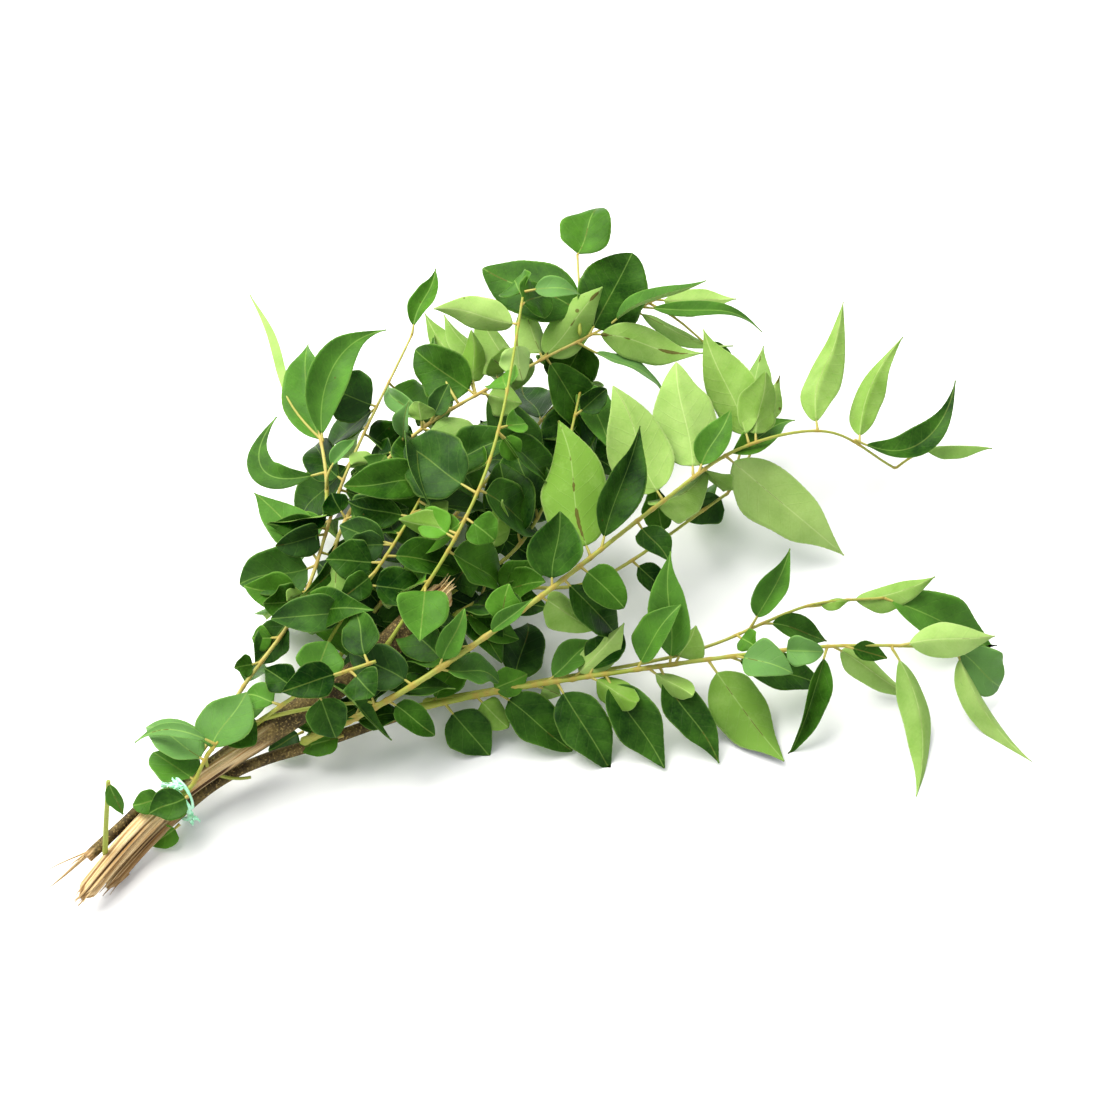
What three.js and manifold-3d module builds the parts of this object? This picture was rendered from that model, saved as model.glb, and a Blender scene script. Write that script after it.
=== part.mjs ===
// A bunch of fresh curry leaf branches, tied near the cut ends and lying on a flat surface.
// Millimetres, +Z up. +X runs from the torn wood ends towards the leaf tips, and the origin is on
// the surface, under the middle of the bunch.
//
// The wood is two torn branches. A frond is one compound leaf: a green stalk with leaflets on short
// stalks of their own. The leaflets that lie clear are separate solids, each GAP away from the stalk
// it grows from, and the crowded ones are joined to their stalk as the plant grew them.
import * as THREE from 'three';
import { mergeVertices } from 'three/addons/utils/BufferGeometryUtils.js';
import Module from 'manifold-3d';

const wasm = await Module();
wasm.setup();

// Driving dimensions, in millimetres.
const GAP = 0.3; // air between neighbouring pieces
const START = 0.2; // how much further out than GAP a clear leaflet starts
const LEAF_HALF = 0.4; // half the thickness at a leaflet's midrib
const PETIOLE_HALF = 0.5; // half the width of a leaflet's own short stalk
const REST_Z = 1.3; // height of the tip of a leaflet that hangs down to the surface
const STEEPEST = 55; // how steeply a leaflet that hangs may point down
const SOFT_Z = 2; // below this height a leaflet is pressed flat by the surface
const OUTLINE_POWER = 0.72; // below 1 puts a leaflet's widest place nearer its base
const STEP_LENGTH = 15; // length of one straight piece of a stalk
const TIE_X = -164; // where the tie goes round the bunch
const TIE_R = 0.8; // half the thickness of the tie's twine
const FIBRE_TIP = 0.3; // a torn fibre's thickness at its tip, as a share of that at its root
const WOOD_SIDES = 10; // sides of a branch's section
const STALK_SIDES = 6; // sides of a stalk's section
const FIBRE_SIDES = 4; // sides of a torn fibre's section
const TURN_SIDES = 5; // sides of the twine's section
const TURN_STEPS = 20; // straight pieces in one turn of the tie
const CENTRE = [-39.2, -26.5, 1.28]; // middle of the bunch's box, which the origin is moved to

// The stations along a blade at which it has a ring of four corners.
const BLADE = [0, 0.14, 0.38, 0.66, 0.88];

const DARK = '#2f6b22';
const LIME = '#8dbb58';
const STALK = '#a9a04a';
const BARK = '#75603d';
const TWINE = '#86e0b6';

// REST in the lift column means that the leaflet hangs until its tip lies on the surface.
const REST = null;

// Leaflets set alternately to the left and right of a stalk, hanging down to the surface. heading is
// the stalk's and spread how far they turn off it; a wave keeps any two from being alike.
function alternate({ from, to, count, heading, spread, length, width }) {
  return Array.from({ length: count }, (_, i) => {
    const side = i % 2 ? 1 : -1;
    const wave = Math.sin(2.4 * i + 5 * from);
    const share = from + ((to - from) * i) / (count - 1);
    const turn = heading + side * (spread + 14 * wave);
    return [share, turn, REST, side * 12 + 10 * wave, length + 4 * wave, width - 2 * wave];
  });
}

// Each frond has a route [x, y, z], the radius at its two ends, and leaflets, all set by hand.
// A leaflet is [share of the stalk's length, heading, lift, roll, length, width, curl, fold, stalk
// length, sweep]. Heading is seen from above with 0 along +X, lift is above the horizon, roll 0 has
// the upper face up and 180 the underside up, curl is the bend from end to end, fold is how far each
// half is raised about the midrib, and sweep bows the leaflet sideways like a sickle. Angles are in
// degrees, and what a row leaves out is in USUAL.
const USUAL = { curl: 15, fold: 25, stalk: 3, sweep: 0 };
const FRONDS = {
  middle: {
    route: [[-123.4, -8.8, 14], [-107, -18, 21], [-85, -31, 36], [-45, -39, 46],
      [10, -39, 46], [50, -41, 46], [80, -56, 44], [98, -75, 26]],
    radius: [1.25, 0.5],
    clear: [
      [0.86, 31, 5, -170, 58, 17, 10, 40, 3, 20],
      [0.93, 21, 13, -175, 47, 13, 25, 45, 3, 45],
      [0.92, -13, 7, -10, 44, 12, -60, 30, 3, 115],
      [1, -30, 4, -160, 36, 11, -25, 45, 12, 30],
      [0.72, -60, -40, 145, 60, 22, 10],
      [0.76, 65, 20, -140, 45, 20, 10],
      [0.66, 52, 20, -170, 43, 24, 0],
      [0.6, 68, 21, -165, 44, 23, 10],
      [0.48, 26, 28, -25, 42, 19, 10, 45],
      [0.46, 58, 21, -170, 49, 24, 5],
    ],
    joined: [
      [0.39, 38, 35, 0, 25, 22, 15, 40],
      [0.77, 35, 35, 160, 25, 16],
      [0.58, 7, -20, 180, 34, 19, 20, 40],
      [0.72, 0, -15, -15, 40, 12],
      [0.67, 15, 25, 0, 25, 12],
      [0.37, -45, -45, 150, 25, 14],
      [0.41, -56, -54, -35, 36, 15],
      [0.11, 65, 5, 20, 25, 15],
      [0.17, 100, 0, 30, 25, 15],
      [0.22, 80, -10, 30, 30, 15],
      [0.21, 13, 42, -25, 21, 11, 10, 40],
      [0.28, -20, 30, -15, 20, 8, 10, 40],
      [0.3, 22, 50, -25, 15, 12],
      [0.02, 75, -10, -15, 14, 12, 10, 20, 2],
      [0.03, 60, 5, 0, 20, 12, 10, 20, 5],
      [0.04, -5, 10, 15, 22, 12, 10, 20, 4],
      [0.08, 20, 5, 10, 22, 13],
      [0.13, -72, -25, -20, 19, 11],
      [0.26, 120, -30, 10, 30, 16],
      [0.34, 95, -40, -10, 34, 17],
      [0.44, -80, -25, -10, 20, 14],
      [0.07, -25, -15, 0, 20, 12],
      [0.14, -15, -20, 10, 24, 14],
      [0.21, -35, -25, 10, 22, 13],
      [0.55, -95, -20, -10, 17, 11, 10, 15],
      [0.68, 0, -60, 10, 24, 15],
    ],
  },
  front: {
    route: [[-87.2, -25.3, 14], [-64, -40, 15], [-45, -55, 18], [0, -92, 24], [25, -114, 26],
      [52, -138, 22]],
    radius: [1.2, 0.5],
    clear: [
      [0.88, -127, REST, -175, 49, 14, 20, 40, 4, 60],
      [1, -97, REST, 170, 44, 15, 15, 55, 3, -35],
      [0.89, -35, -5, 150, 32, 14, -80, 30],
      [0.76, -158, REST, 30, 38, 14, 10, 50],
      [0.54, -92, REST, 165, 40, 21, 10, 20, 4],
      [0.58, -40, REST, -25, 40, 14],
      [0.45, -97, REST, -15, 36, 14],
      [0.35, -98, REST, -10, 35, 18],
      [0.26, -99, REST, -15, 33, 18],
      [0.15, -76, REST, -10, 30, 17, 10, 30],
      [0.05, -85, REST, -25, 22, 16],
      [0.18, 37, -12, -15, 35, 16],
    ],
    joined: [
      [0.77, -55, -36, 145, 38, 13, 20, 50, 4],
      [0.03, 25, -10, -15, 25, 15],
      [0.41, -5, 54, 15, 27, 16],
      [0.47, 45, 50, 15, 38, 15],
      [1, -62, -40, -45, 24, 18, 20],
      [0.79, -55, -15, -20, 15, 8],
      [0.59, -70, 8, -15, 20, 15, 30, 30],
      [0.68, -60, 15, -40, 13, 12, 30, 40, 1],
      [0.43, -90, 10, 150, 20, 13, 50, 50],
      [0.32, -85, 10, 155, 20, 14, 50, 50],
      [0.22, -50, -30, 140, 10, 8],
      [0.11, -85, -25, 165, 15, 11],
      [0.13, -20, 10, -25, 15, 11],
      [0.29, -5, 25, 175, 25, 13],
      [0.24, 0, 5, -5, 25, 12],
      [0.32, 10, 10, 10, 20, 14],
      [0.48, 15, 10, -175, 15, 13],
    ],
  },
  fork: {
    route: [[-82, -22, 9], [-50, -45, 12], [-18, -68, 15], [0, -79, 18], [30, -93, 24], [52, -108, 22]],
    radius: [0.9, 0.5],
    clear: [
      [0.7, 5, 53, -5, 30, 13, 10, 45, 4, 20],
      [1, -54, REST, -25, 47, 19, 15, 20, 2],
    ],
    joined: [
      [0.92, -35, 8, 170, 30, 11, 50],
      [0.73, -45, -20, -20, 25, 11, 20],
      [0.83, -35, 0, -175, 15, 6, 10, 40, 5],
      [0.67, -100, 20, -25, 10, 9],
    ],
  },
  back: {
    route: [[-88, 24, 22], [-60, 36, 40], [-25, 40, 50], [25, 34, 52], [50, 30, 52], [84, 29, 48]],
    radius: [0.9, 0.5],
    clear: [
      [0.81, 21, 9, -25, 41, 26, 10, 15],
      [0.86, -27, 17, 20, 38, 11, 20, 40],
      [0.96, -44, -11, -10, 46, 8, 30, 30],
      [0.69, 5, 15, 160, 35, 17],
    ],
    joined: [
      ...alternate({ from: 0.12, to: 0.78, count: 10, heading: 0, spread: 70, length: 40, width: 20 }),
      [0.82, -50, -10, 145, 40, 14],
      [1, -40, -5, 155, 30, 12, 20],
      [0.94, -59, -16, 175, 38, 8, 40, 30],
      [0.98, -70, -25, -35, 40, 8, 30, 30, 25],
      [0.78, -55, -30, 15, 40, 8, 20, 20, 8],
      [0.79, 130, -75, 80, 25, 20, 5, 10, 2],
      [0.54, 50, 25, 180, 25, 15, 5, 45, 5],
      [0.54, 97, 10, 45, 29, 20],
      [0.42, 75, -15, 50, 35, 9, 10, 30, 6],
      [0.54, 70, 0, -150, 45, 10, 10, 30, 22],
      [0.5, 65, 0, 65, 40, 8, 10, 40, 14],
      [0.63, 140, 50, -110, 12, 14],
      [0.55, -55, -10, 145, 15, 14],
      [0.43, 15, 30, -15, 15, 9],
      [0.41, 55, 65, -155, 10, 11],
      [0.41, -60, -10, 155, 27, 18, 20, 15],
      [0.36, -15, 80, -25, 20, 9],
      [0.38, -122, 9, 40, 42, 13, 60, 30, 3, 60],
      [0.11, -125, 20, -160, 35, 10],
      [0.09, -150, 25, 55, 25, 8, 80],
      [0.18, -60, 30, -30, 25, 14],
      [0.18, 85, 40, 40, 10, 12],
      [0.24, 0, 40, -10, 15, 13],
      [0.31, 170, 30, -105, 15, 11, 30, 50],
      [0.6, 84, 11, 165, 34, 14],
      [0.64, 78, 8, 165, 30, 15, 10, 20],
      [0.7, 62, 8, 165, 26, 14],
    ],
  },
  top_twig: {
    route: [[46, 31, 54], [57, 42, 59], [67, 53, 65]],
    radius: [0.6, 0.5],
    clear: [],
    joined: [
      [1, 27, 9, 5, 26, 20, 5, 10, 1],
      [0.3, 110, 8, 22, 39, 23, 20, 10, 2],
    ],
  },
  left: {
    route: [[-170, 8.5, 10], [-150, 11, 13], [-124, 18, 20], [-92, 24, 32], [-50, 49, 42], [9, 80, 46]],
    radius: [0.9, 0.5],
    clear: [
      [1, 30, 10, -5, 30, 10, 20, 30],
      [0.77, 70, REST, 25, 45, 22, 15, 10, 4],
    ],
    joined: [
      ...alternate({ from: 0.38, to: 0.88, count: 9, heading: 50, spread: 75, length: 38, width: 21 }),
      [0.55, 146, 20, 40, 21, 9],
      [0.49, 90, 19, 5, 33, 15, 20, 15],
      [0.65, 75, -15, 35, 30, 15],
      [0.58, 170, 25, 75, 25, 11, 20, 60],
      [0.54, 170, 20, 55, 20, 13],
      [0.48, 150, -3, 30, 26, 20],
      [0.42, 130, 10, 35, 20, 14],
      [0.41, 165, 30, 45, 15, 15],
      [0.34, 120, -20, 55, 11, 9],
      [0.43, -155, 40, -105, 20, 6],
      [0.39, -75, 35, -40, 35, 16],
      [0.24, 40, REST, -10, 30, 10],
      [0.18, -40, 20, -30, 15, 10],
      [0.29, 155, 5, 45, 9, 8],
      [0.82, 125, 20, 30, 21, 20, 10, 10, 2],
      [0.38, 175, -35, 15, 20, 13],
    ],
  },
  left_fork: {
    route: [[-66, 41, 40], [-57, 51, 46], [-47, 66, 50]],
    radius: [0.8, 0.6],
    clear: [
      [0.8, 22, 8, -20, 50, 16, 45, 30, 2, -85],
      [0.42, 82, 5, 20, 32, 10, 20, 20, 2, -220],
      [0.83, 67, 6, -130, 68, 7, -30, 40, 20, 15],
    ],
    joined: [
      [0.8, 55, 5, 15, 46, 19, 20, 20, 2, -20],
      [0.25, 15, 25, 5, 20, 9, 90, 50, 8],
    ],
  },
  top: {
    route: [[-88, -12, 34], [-50, -8, 58], [-15, 9, 68], [38, 50, 74]],
    radius: [0.75, 0.5],
    clear: [
      [0.39, 90, -5, 30, 35, 23, 10, 10, 5],
      [0.86, 117, 0, -115, 29, 14, 15, 25, 1],
    ],
    joined: [
      ...alternate({ from: 0.1, to: 0.55, count: 7, heading: 25, spread: 65, length: 36, width: 18 }),
      [0.96, -40, -5, -20, 20, 9, 70, 20, 4],
      [0.95, 60, -20, 35, 16, 14, 10, 10, 2],
      [0.92, 15, -25, -45, 20, 16, 10, 10, 2],
      [0.82, -125, -55, -165, 15, 13],
      [0.66, 50, -30, 25, 20, 14],
      [0.56, -10, -20, -25, 12, 10],
      [0.55, -70, -55, -25, 12, 9],
      [0.16, -137, 5, 5, 24, 18],
      [0.29, 115, 0, -125, 20, 11],
      [0.28, 95, 0, 20, 16, 12],
      [0.33, -80, -15, -20, 12, 13],
    ],
  },
  under: {
    route: [[-60, -14, 28], [-40, -19, 29], [-10, -34, 22], [50, -39, 22]],
    radius: [0.8, 0.6],
    clear: [],
    joined: [
      [1, 160, -20, 55, 18, 14],
      [0.73, 60, 50, 35, 20, 12],
      [1, 30, 20, -175, 60, 14, 30, 40, 30],
      [1, 20, 20, -170, 50, 11, 40, 50, 30],
      [0.1, 25, 50, 175, 35, 9, 10, 30, 18],
      [0.14, -30, 30, -30, 20, 14],
      [0.14, -70, 10, -30, 20, 12],
      [0.17, -70, 40, -30, 20, 13],
      [0.6, -70, -40, -20, 18, 10],
      [0.9, 40, REST, 20, 35, 14],
      [0.02, -60, -20, -10, 22, 13],
      [0.05, -100, -25, 10, 22, 13],
    ],
  },
  inner: {
    route: [[-112, -3, 26], [-97, 3, 36], [-65, 8, 50], [-32, 21, 53]],
    radius: [0.7, 0.5],
    clear: [],
    joined: [
      [0.49, 180, -5, 45, 15, 10],
      [0.43, -42, -16, -20, 20, 15],
      [0.61, 110, 0, 55, 20, 13],
      [0.61, 130, -5, 50, 15, 12],
      [0.53, 135, 5, 35, 18, 15],
      [0.82, -90, 15, 165, 15, 11],
      [0.74, 110, -10, 60, 25, 12],
      [0.66, 60, -40, 20, 40, 16],
      [0.49, 100, -60, 20, 40, 16],
      [0.93, 150, 10, 30, 30, 17],
      [0.98, -30, 20, -10, 30, 17],
      [0.56, -35, -25, -10, 30, 16],
      [0.31, 150, 10, 30, 25, 15],
      [0.76, -20, -20, 10, 34, 18],
      [0.88, 60, -10, -10, 34, 18],
    ],
  },
  inner_right: {
    route: [[-58, -6, 28], [-30, -14, 38], [5, 0, 40], [43, 26, 38]],
    radius: [0.8, 0.5],
    clear: [
      [0.93, -155, -35, 10, 30, 20, 10, 10, 2],
    ],
    joined: [
      [0.6, 180, -10, 30, 20, 20, 10, 10, 2],
      [0.83, -5, 15, -40, 15, 11, 10, 30, 3],
      [0.18, 65, 35, 10, 20, 13],
      [0.29, 60, 20, 10, 30, 20],
      [0.39, 60, 15, 10, 30, 18],
      [0.03, -15, 55, -30, 20, 17],
      [0.74, 60, -50, 10, 45, 16],
      [0.96, 40, -50, 10, 45, 16],
      [0.5, -30, -40, 10, 34, 18],
      [0.55, 95, -20, 10, 36, 19],
      [0.12, 110, -10, 20, 30, 18],
      [1, -117, -16, 0, 31, 14],
    ],
  },
  bed: {
    route: [[-100, 8, 10], [-75, 13, 15], [-45, 18, 20], [-15, 24, 22], [15, 31, 20], [42, 40, 14]],
    radius: [1.0, 0.6],
    clear: [],
    joined: [
      ...alternate({ from: 0.06, to: 0.98, count: 17, heading: 12, spread: 60, length: 39, width: 19 }),
      [1, 20, REST, 0, 30, 14],
    ],
  },
  over: {
    route: [[-134, 3, 21], [-115, -9, 38], [-97, -19, 43]],
    radius: [0.9, 0.6],
    clear: [],
    joined: [
      [0.12, 162, -3, 30, 16, 14, 10, 20, 2],
      [0.65, -70, -40, 30, 30, 8, 10, 40],
      [0.56, 25, 25, -10, 15, 16],
      [0.82, -90, -10, -20, 12, 13],
      [0.47, 105, 15, 25, 14, 12],
      [0.95, 60, 10, 20, 20, 13],
      [0.78, 160, 5, 30, 20, 13],
      [0.12, -40, 8, 0, 36, 1, 25, 0, 30],
      [0.58, -105, -48, -10, 19, 14, 10, 20, 5],
      [0.3, 110, -5, 10, 14, 11],
    ],
  },
  shoot: {
    route: [[-168, -0.5, 18.4], [-160, 0, 19.2], [-153, 1, 25], [-147, 1, 29]],
    radius: [1.0, 0.5],
    clear: [],
    joined: [
      [0.4, 97, -6, -15, 19, 16, 10, 15, 2],
      [0.95, 129, -5, 20, 27, 5, 50, 30, 3, 60],
      [0.8, 16, 18, 10, 23, 20, 10, 15, 2],
      [0.7, 98, -2, -10, 26, 15, 10, 15, 2],
      [0.88, -40, -60, 0, 20, 1, -150, 0, 18],
    ],
  },
};

const toRadians = THREE.MathUtils.degToRad;

// A closed polyline solid from a three.js geometry: only positions are left, shared corners merged.
function toSolid(geometry) {
  const plain = geometry.clone();
  plain.deleteAttribute('normal');
  plain.deleteAttribute('uv');
  const merged = mergeVertices(plain, 1e-4);
  const mesh = new wasm.Mesh({
    numProp: 3,
    vertProperties: new Float32Array(merged.attributes.position.array),
    triVerts: new Uint32Array(merged.index.array),
  });
  return new wasm.Manifold(mesh);
}

// Turns the faces of a geometry over when they point in.
function facingOut(geometry) {
  const position = geometry.attributes.position;
  const index = geometry.index;
  const corner = (i) => new THREE.Vector3().fromBufferAttribute(position, index.getX(i));
  let volume = 0;
  for (let i = 0; i < index.count; i += 3) {
    volume += corner(i).dot(corner(i + 1).cross(corner(i + 2)));
  }
  if (volume < 0) {
    for (let i = 0; i < index.count; i += 3) {
      const first = index.getX(i);
      index.setX(i, index.getX(i + 1));
      index.setX(i + 1, first);
    }
  }
  return geometry;
}

// A surface presses what would go through it flat: z runs on smoothly but never reaches 0.
function settle(z) {
  return z >= SOFT_Z ? z : SOFT_Z * Math.exp((z - SOFT_Z) / SOFT_Z);
}

function pathOf(route) {
  return new THREE.CatmullRomCurve3(route.map((p) => new THREE.Vector3(...p)), false, 'catmullrom', 0.5);
}

function radiusAt(frond, share) {
  const [first, last] = frond.radius;
  return first + (last - first) * share;
}

// A round stalk along a path, tapering from one radius to the other.
function taperedTube(path, radii, sides, grow = 0) {
  const steps = Math.max(3, Math.round(path.getLength() / STEP_LENGTH));
  const section = new THREE.Shape();
  for (let i = 0; i < sides; i += 1) {
    const angle = (2 * Math.PI * i) / sides;
    const point = [Math.cos(angle), Math.sin(angle)];
    if (i === 0) section.moveTo(...point);
    else section.lineTo(...point);
  }
  section.closePath();
  const tube = new THREE.ExtrudeGeometry(section, { steps, extrudePath: path, curveSegments: 1 });
  const centres = path.getSpacedPoints(steps);
  const position = tube.attributes.position;
  for (let i = 0; i < position.count; i += 1) {
    const vertex = new THREE.Vector3().fromBufferAttribute(position, i);
    let nearest = 0;
    for (let k = 1; k <= steps; k += 1) {
      if (vertex.distanceTo(centres[k]) < vertex.distanceTo(centres[nearest])) nearest = k;
    }
    const radius = radii[0] + ((radii[1] - radii[0]) * nearest) / steps + grow;
    vertex.sub(centres[nearest]).multiplyScalar(radius).add(centres[nearest]);
    position.setXYZ(i, vertex.x, vertex.y, vertex.z);
  }
  return toSolid(tube);
}

// Which way a leaflet points from its base to its tip. A hanging one goes no steeper than STEEPEST.
function direction(base, leaf) {
  const [, heading, lift, , length] = leaf;
  const turn = toRadians(heading);
  const drop = Math.max((REST_Z - base.z) / length, -Math.sin(toRadians(STEEPEST)));
  const raised = lift === REST ? Math.asin(drop) : toRadians(lift);
  return new THREE.Vector3(
    Math.cos(turn) * Math.cos(raised), Math.sin(turn) * Math.cos(raised), Math.sin(raised));
}

// One leaflet: a four-sided spindle, flattened to a blade, folded along its midrib and bent along an
// arc. Its half width at share b of the blade is half the width times sin(pi b^OUTLINE_POWER).
function leafSolid(base, leaf, grow = 0) {
  const [, heading, , roll, length, width] = leaf;
  const [curl = USUAL.curl, fold = USUAL.fold, stalkLength = USUAL.stalk, sweep = USUAL.sweep] =
    leaf.slice(6);
  const turn = toRadians(heading);
  const ahead = direction(base, leaf);
  const level = new THREE.Vector3(Math.sin(turn), -Math.cos(turn), 0);
  const above = level.clone().cross(ahead);
  const rolled = toRadians(roll);
  const up = above.clone().multiplyScalar(Math.cos(rolled)).addScaledVector(level, -Math.sin(rolled));
  const side = level.clone().multiplyScalar(Math.cos(rolled)).addScaledVector(above, Math.sin(rolled));
  const bend = toRadians(curl === 0 ? 1 : curl);
  const arc = length / (2 * Math.sin(bend / 2));
  const stalk = stalkLength / length;
  const folded = toRadians(fold);
  const bow = (length * toRadians(sweep)) / 8;

  const rings = [0, ...BLADE.map((b) => stalk + b * (1 - stalk))];
  const profile = [new THREE.Vector2(0, 0), ...rings.map((q) => new THREE.Vector2(1, q))];
  profile.push(new THREE.Vector2(0, 1));
  const spindle = new THREE.LatheGeometry(profile, 4);
  const position = spindle.attributes.position;
  for (let i = 0; i < position.count; i += 1) {
    const across = Math.round(position.getX(i));
    const thick = Math.round(position.getZ(i));
    const q = position.getY(i);
    const b = Math.max(0, (q - stalk) / (1 - stalk));
    const half = Math.max(PETIOLE_HALF, (width / 2) * Math.sin(Math.PI * b ** OUTLINE_POWER)) + grow;
    const angle = bend * (0.5 - q);
    const point = base.clone();
    point.addScaledVector(ahead, arc * (Math.sin(bend / 2) - Math.sin(angle)));
    point.addScaledVector(up, arc * (Math.cos(angle) - Math.cos(bend / 2)));
    const normal = up.clone().multiplyScalar(Math.cos(angle)).addScaledVector(ahead, -Math.sin(angle));
    point.addScaledVector(side, bow * 4 * q * (1 - q) + across * half * Math.cos(folded));
    point.addScaledVector(normal, Math.abs(across) * half * Math.sin(folded));
    point.addScaledVector(normal, thick * (LEAF_HALF + grow));
    if (q === 0) point.addScaledVector(ahead, -grow);
    if (q === 1) point.addScaledVector(ahead, grow);
    position.setXYZ(i, point.x, point.y, settle(point.z));
  }
  const plain = spindle.clone();
  plain.deleteAttribute('normal');
  plain.deleteAttribute('uv');
  return toSolid(facingOut(mergeVertices(plain, 1e-4)));
}

// Where a leaflet starts: on the middle of its stalk, or just clear of the stalk's side.
function leafBase(frond, leaf, clear) {
  const base = pathOf(frond.route).getPointAt(leaf[0]);
  if (clear) base.addScaledVector(direction(base, leaf), radiusAt(frond, leaf[0]) + GAP + START);
  return base;
}

// Each piece is { name, colour, members(grow) }: the solids that it is joined from, grown on request.
const pieces = [];

function colourOf(roll) {
  return Math.abs(roll) > 90 ? LIME : DARK;
}

// The main branch: torn pale at the cut end, brown bark past the tie, torn again at the top.
const MAIN_ROUTE = [[-207, -2, 9], [-185, 2, 12], [-162, 4, 14], [-134, 0, 18], [-115, -5, 23],
  [-103, -8, 27], [-88, -10, 31], [-58, -11, 38]];
const MAIN_RADIUS = [3.2, 4.8];
// The second branch runs beside and below it.
const SECOND_ROUTE = [[-198, -2, 4.2], [-180, 1, 6.2], [-162, 2.4, 7.7], [-148, 1.5, 8.5],
  [-134, -2.5, 9], [-117, -10.5, 9.5], [-88, -22.5, 10]];
const SECOND_RADIUS = [2.4, 1.8];
// A dead stub and an upright twig, with one small leaflet on it, stand beside the cut end.
const STUB_ROUTE = [[-197, 7.5, 10], [-189, 8, 11], [-181, 8.8, 11.5], [-175, 9.6, 12]];
const STUB_RADIUS = [1.9, 1.5];
const TWIG_ROUTE = [[-193, 3, 13], [-189, 3.5, 28], [-185, 3, 45]];
const TWIG_RADIUS = [0.9, 0.7];
const TWIG_LEAF = [1, -100, -60, -30, 12, 6, 10, 30, 1];

// A torn fibre: a straight spindle from one point to another.
function splinter(from, to, half, grow = 0) {
  const start = new THREE.Vector3(...from);
  const end = new THREE.Vector3(...to);
  const path = new THREE.LineCurve3(start, end);
  return taperedTube(path, [half, half * FIBRE_TIP], FIBRE_SIDES, grow);
}

const MAIN_FIBRES = [
  [[-203, -0.5, 9.5], [-211, 0, 8.5], 1.2], [[-203, -3, 9], [-210, -4, 7], 1.0],
  [[-62, -10, 38], [-55, -8, 42], 1.5], [[-62, -13, 37], [-54, -14, 40], 1.3],
];
const STUB_FIBRES = [[[-192, 9, 10], [-210, 12, 2.2], 1.0], [[-193, 9, 9.4], [-209, 18, 1.6], 0.7]];

pieces.push({
  name: 'branch_main',
  colour: BARK,
  members: (grow) => [
    taperedTube(pathOf(MAIN_ROUTE), MAIN_RADIUS, WOOD_SIDES, grow),
    ...MAIN_FIBRES.map(([from, to, half]) => splinter(from, to, half, grow)),
  ],
});
pieces.push({
  name: 'branch_second',
  colour: BARK,
  members: (grow) => [taperedTube(pathOf(SECOND_ROUTE), SECOND_RADIUS, WOOD_SIDES, grow)],
});
pieces.push({
  name: 'stub_dead',
  colour: BARK,
  members: (grow) => [
    taperedTube(pathOf(STUB_ROUTE), STUB_RADIUS, STALK_SIDES, grow),
    ...STUB_FIBRES.map(([from, to, half]) => splinter(from, to, half, grow)),
  ],
});
pieces.push({
  name: 'twig_upright',
  colour: STALK,
  members: (grow) => [
    taperedTube(pathOf(TWIG_ROUTE), TWIG_RADIUS, STALK_SIDES, grow),
    leafSolid(pathOf(TWIG_ROUTE).getPointAt(TWIG_LEAF[0]), TWIG_LEAF, grow),
  ],
});

// The tie: two turns of twine drawn round everything at TIE_X, crossing in a knot on top.
// A turn follows the outline of what it holds: its radius in each direction reaches past them all.
const TIE_MIDDLE = [4, 12];
const HELD = [[4, 14, 3.8], [2.4, 7.6, 2.4], [9.2, 10.9, 1.2], [-0.3, 18.8, 1.0]];
const TIE_SLANT = 9;
const TURN_R = 10;

function turnOfTwine(slant, grow) {
  const ring = new THREE.TorusGeometry(TURN_R, TIE_R + grow, TURN_SIDES, TURN_STEPS);
  const position = ring.attributes.position;
  for (let i = 0; i < position.count; i += 1) {
    const y = position.getX(i);
    const z = position.getY(i);
    const far = Math.hypot(y, z);
    const reach = Math.max(...HELD.map(([cy, cz, r]) => (
      ((cy - TIE_MIDDLE[0]) * y + (cz - TIE_MIDDLE[1]) * z) / far + r + GAP + TIE_R)));
    const scale = (far - TURN_R + reach) / far;
    const along = position.getZ(i) + Math.tan(toRadians(slant)) * z * scale;
    position.setXYZ(i, TIE_X + along, TIE_MIDDLE[0] + y * scale, TIE_MIDDLE[1] + z * scale);
  }
  const plain = ring.clone();
  plain.deleteAttribute('normal');
  plain.deleteAttribute('uv');
  return toSolid(facingOut(mergeVertices(plain, 1e-4)));
}

pieces.push({
  name: 'tie',
  colour: TWINE,
  members: (grow) => [turnOfTwine(TIE_SLANT, grow), turnOfTwine(-TIE_SLANT, grow)],
});

for (const [name, frond] of Object.entries(FRONDS)) {
  pieces.push({
    name: `frond_${name}`,
    colour: STALK,
    members: (grow) => [
      taperedTube(pathOf(frond.route), frond.radius, STALK_SIDES, grow),
      ...frond.joined.map((leaf) => leafSolid(leafBase(frond, leaf, false), leaf, grow)),
    ],
  });
}
for (const [name, frond] of Object.entries(FRONDS)) {
  frond.clear.forEach((leaf, i) => {
    pieces.push({
      name: `leaf_${name}_${i + 1}`,
      colour: colourOf(leaf[3]),
      members: (grow) => [leafSolid(leafBase(frond, leaf, true), leaf, grow)],
    });
  });
}

// Leaflets caught under the tie and beside the stems: where each starts, then the leaflet.
const LOOSE = {
  caught: [[-164, -3.5, 21], [0, 160, -6, 30, 13, 11, 20, 20, 1]],
  grey: [[-170, 2, 20], [0, 140, -14, 30, 10, 8, 20, 20, 1]],
  low: [[-168, -1, 6.5], [0, 170, -20, 35, 11, 9, 10, 20, 2]],
  under_a: [[-117, -2, 7], [0, 165, -8, 20, 13, 11, 10, 20, 2]],
  under_b: [[-111, -16, 13], [0, 150, -8, 25, 15, 10, 10, 20, 2]],
};
for (const [name, [from, leaf]] of Object.entries(LOOSE)) {
  pieces.push({
    name: `leaf_${name}`,
    colour: DARK,
    members: (grow) => [leafSolid(new THREE.Vector3(...from), leaf, grow)],
  });
}

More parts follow.
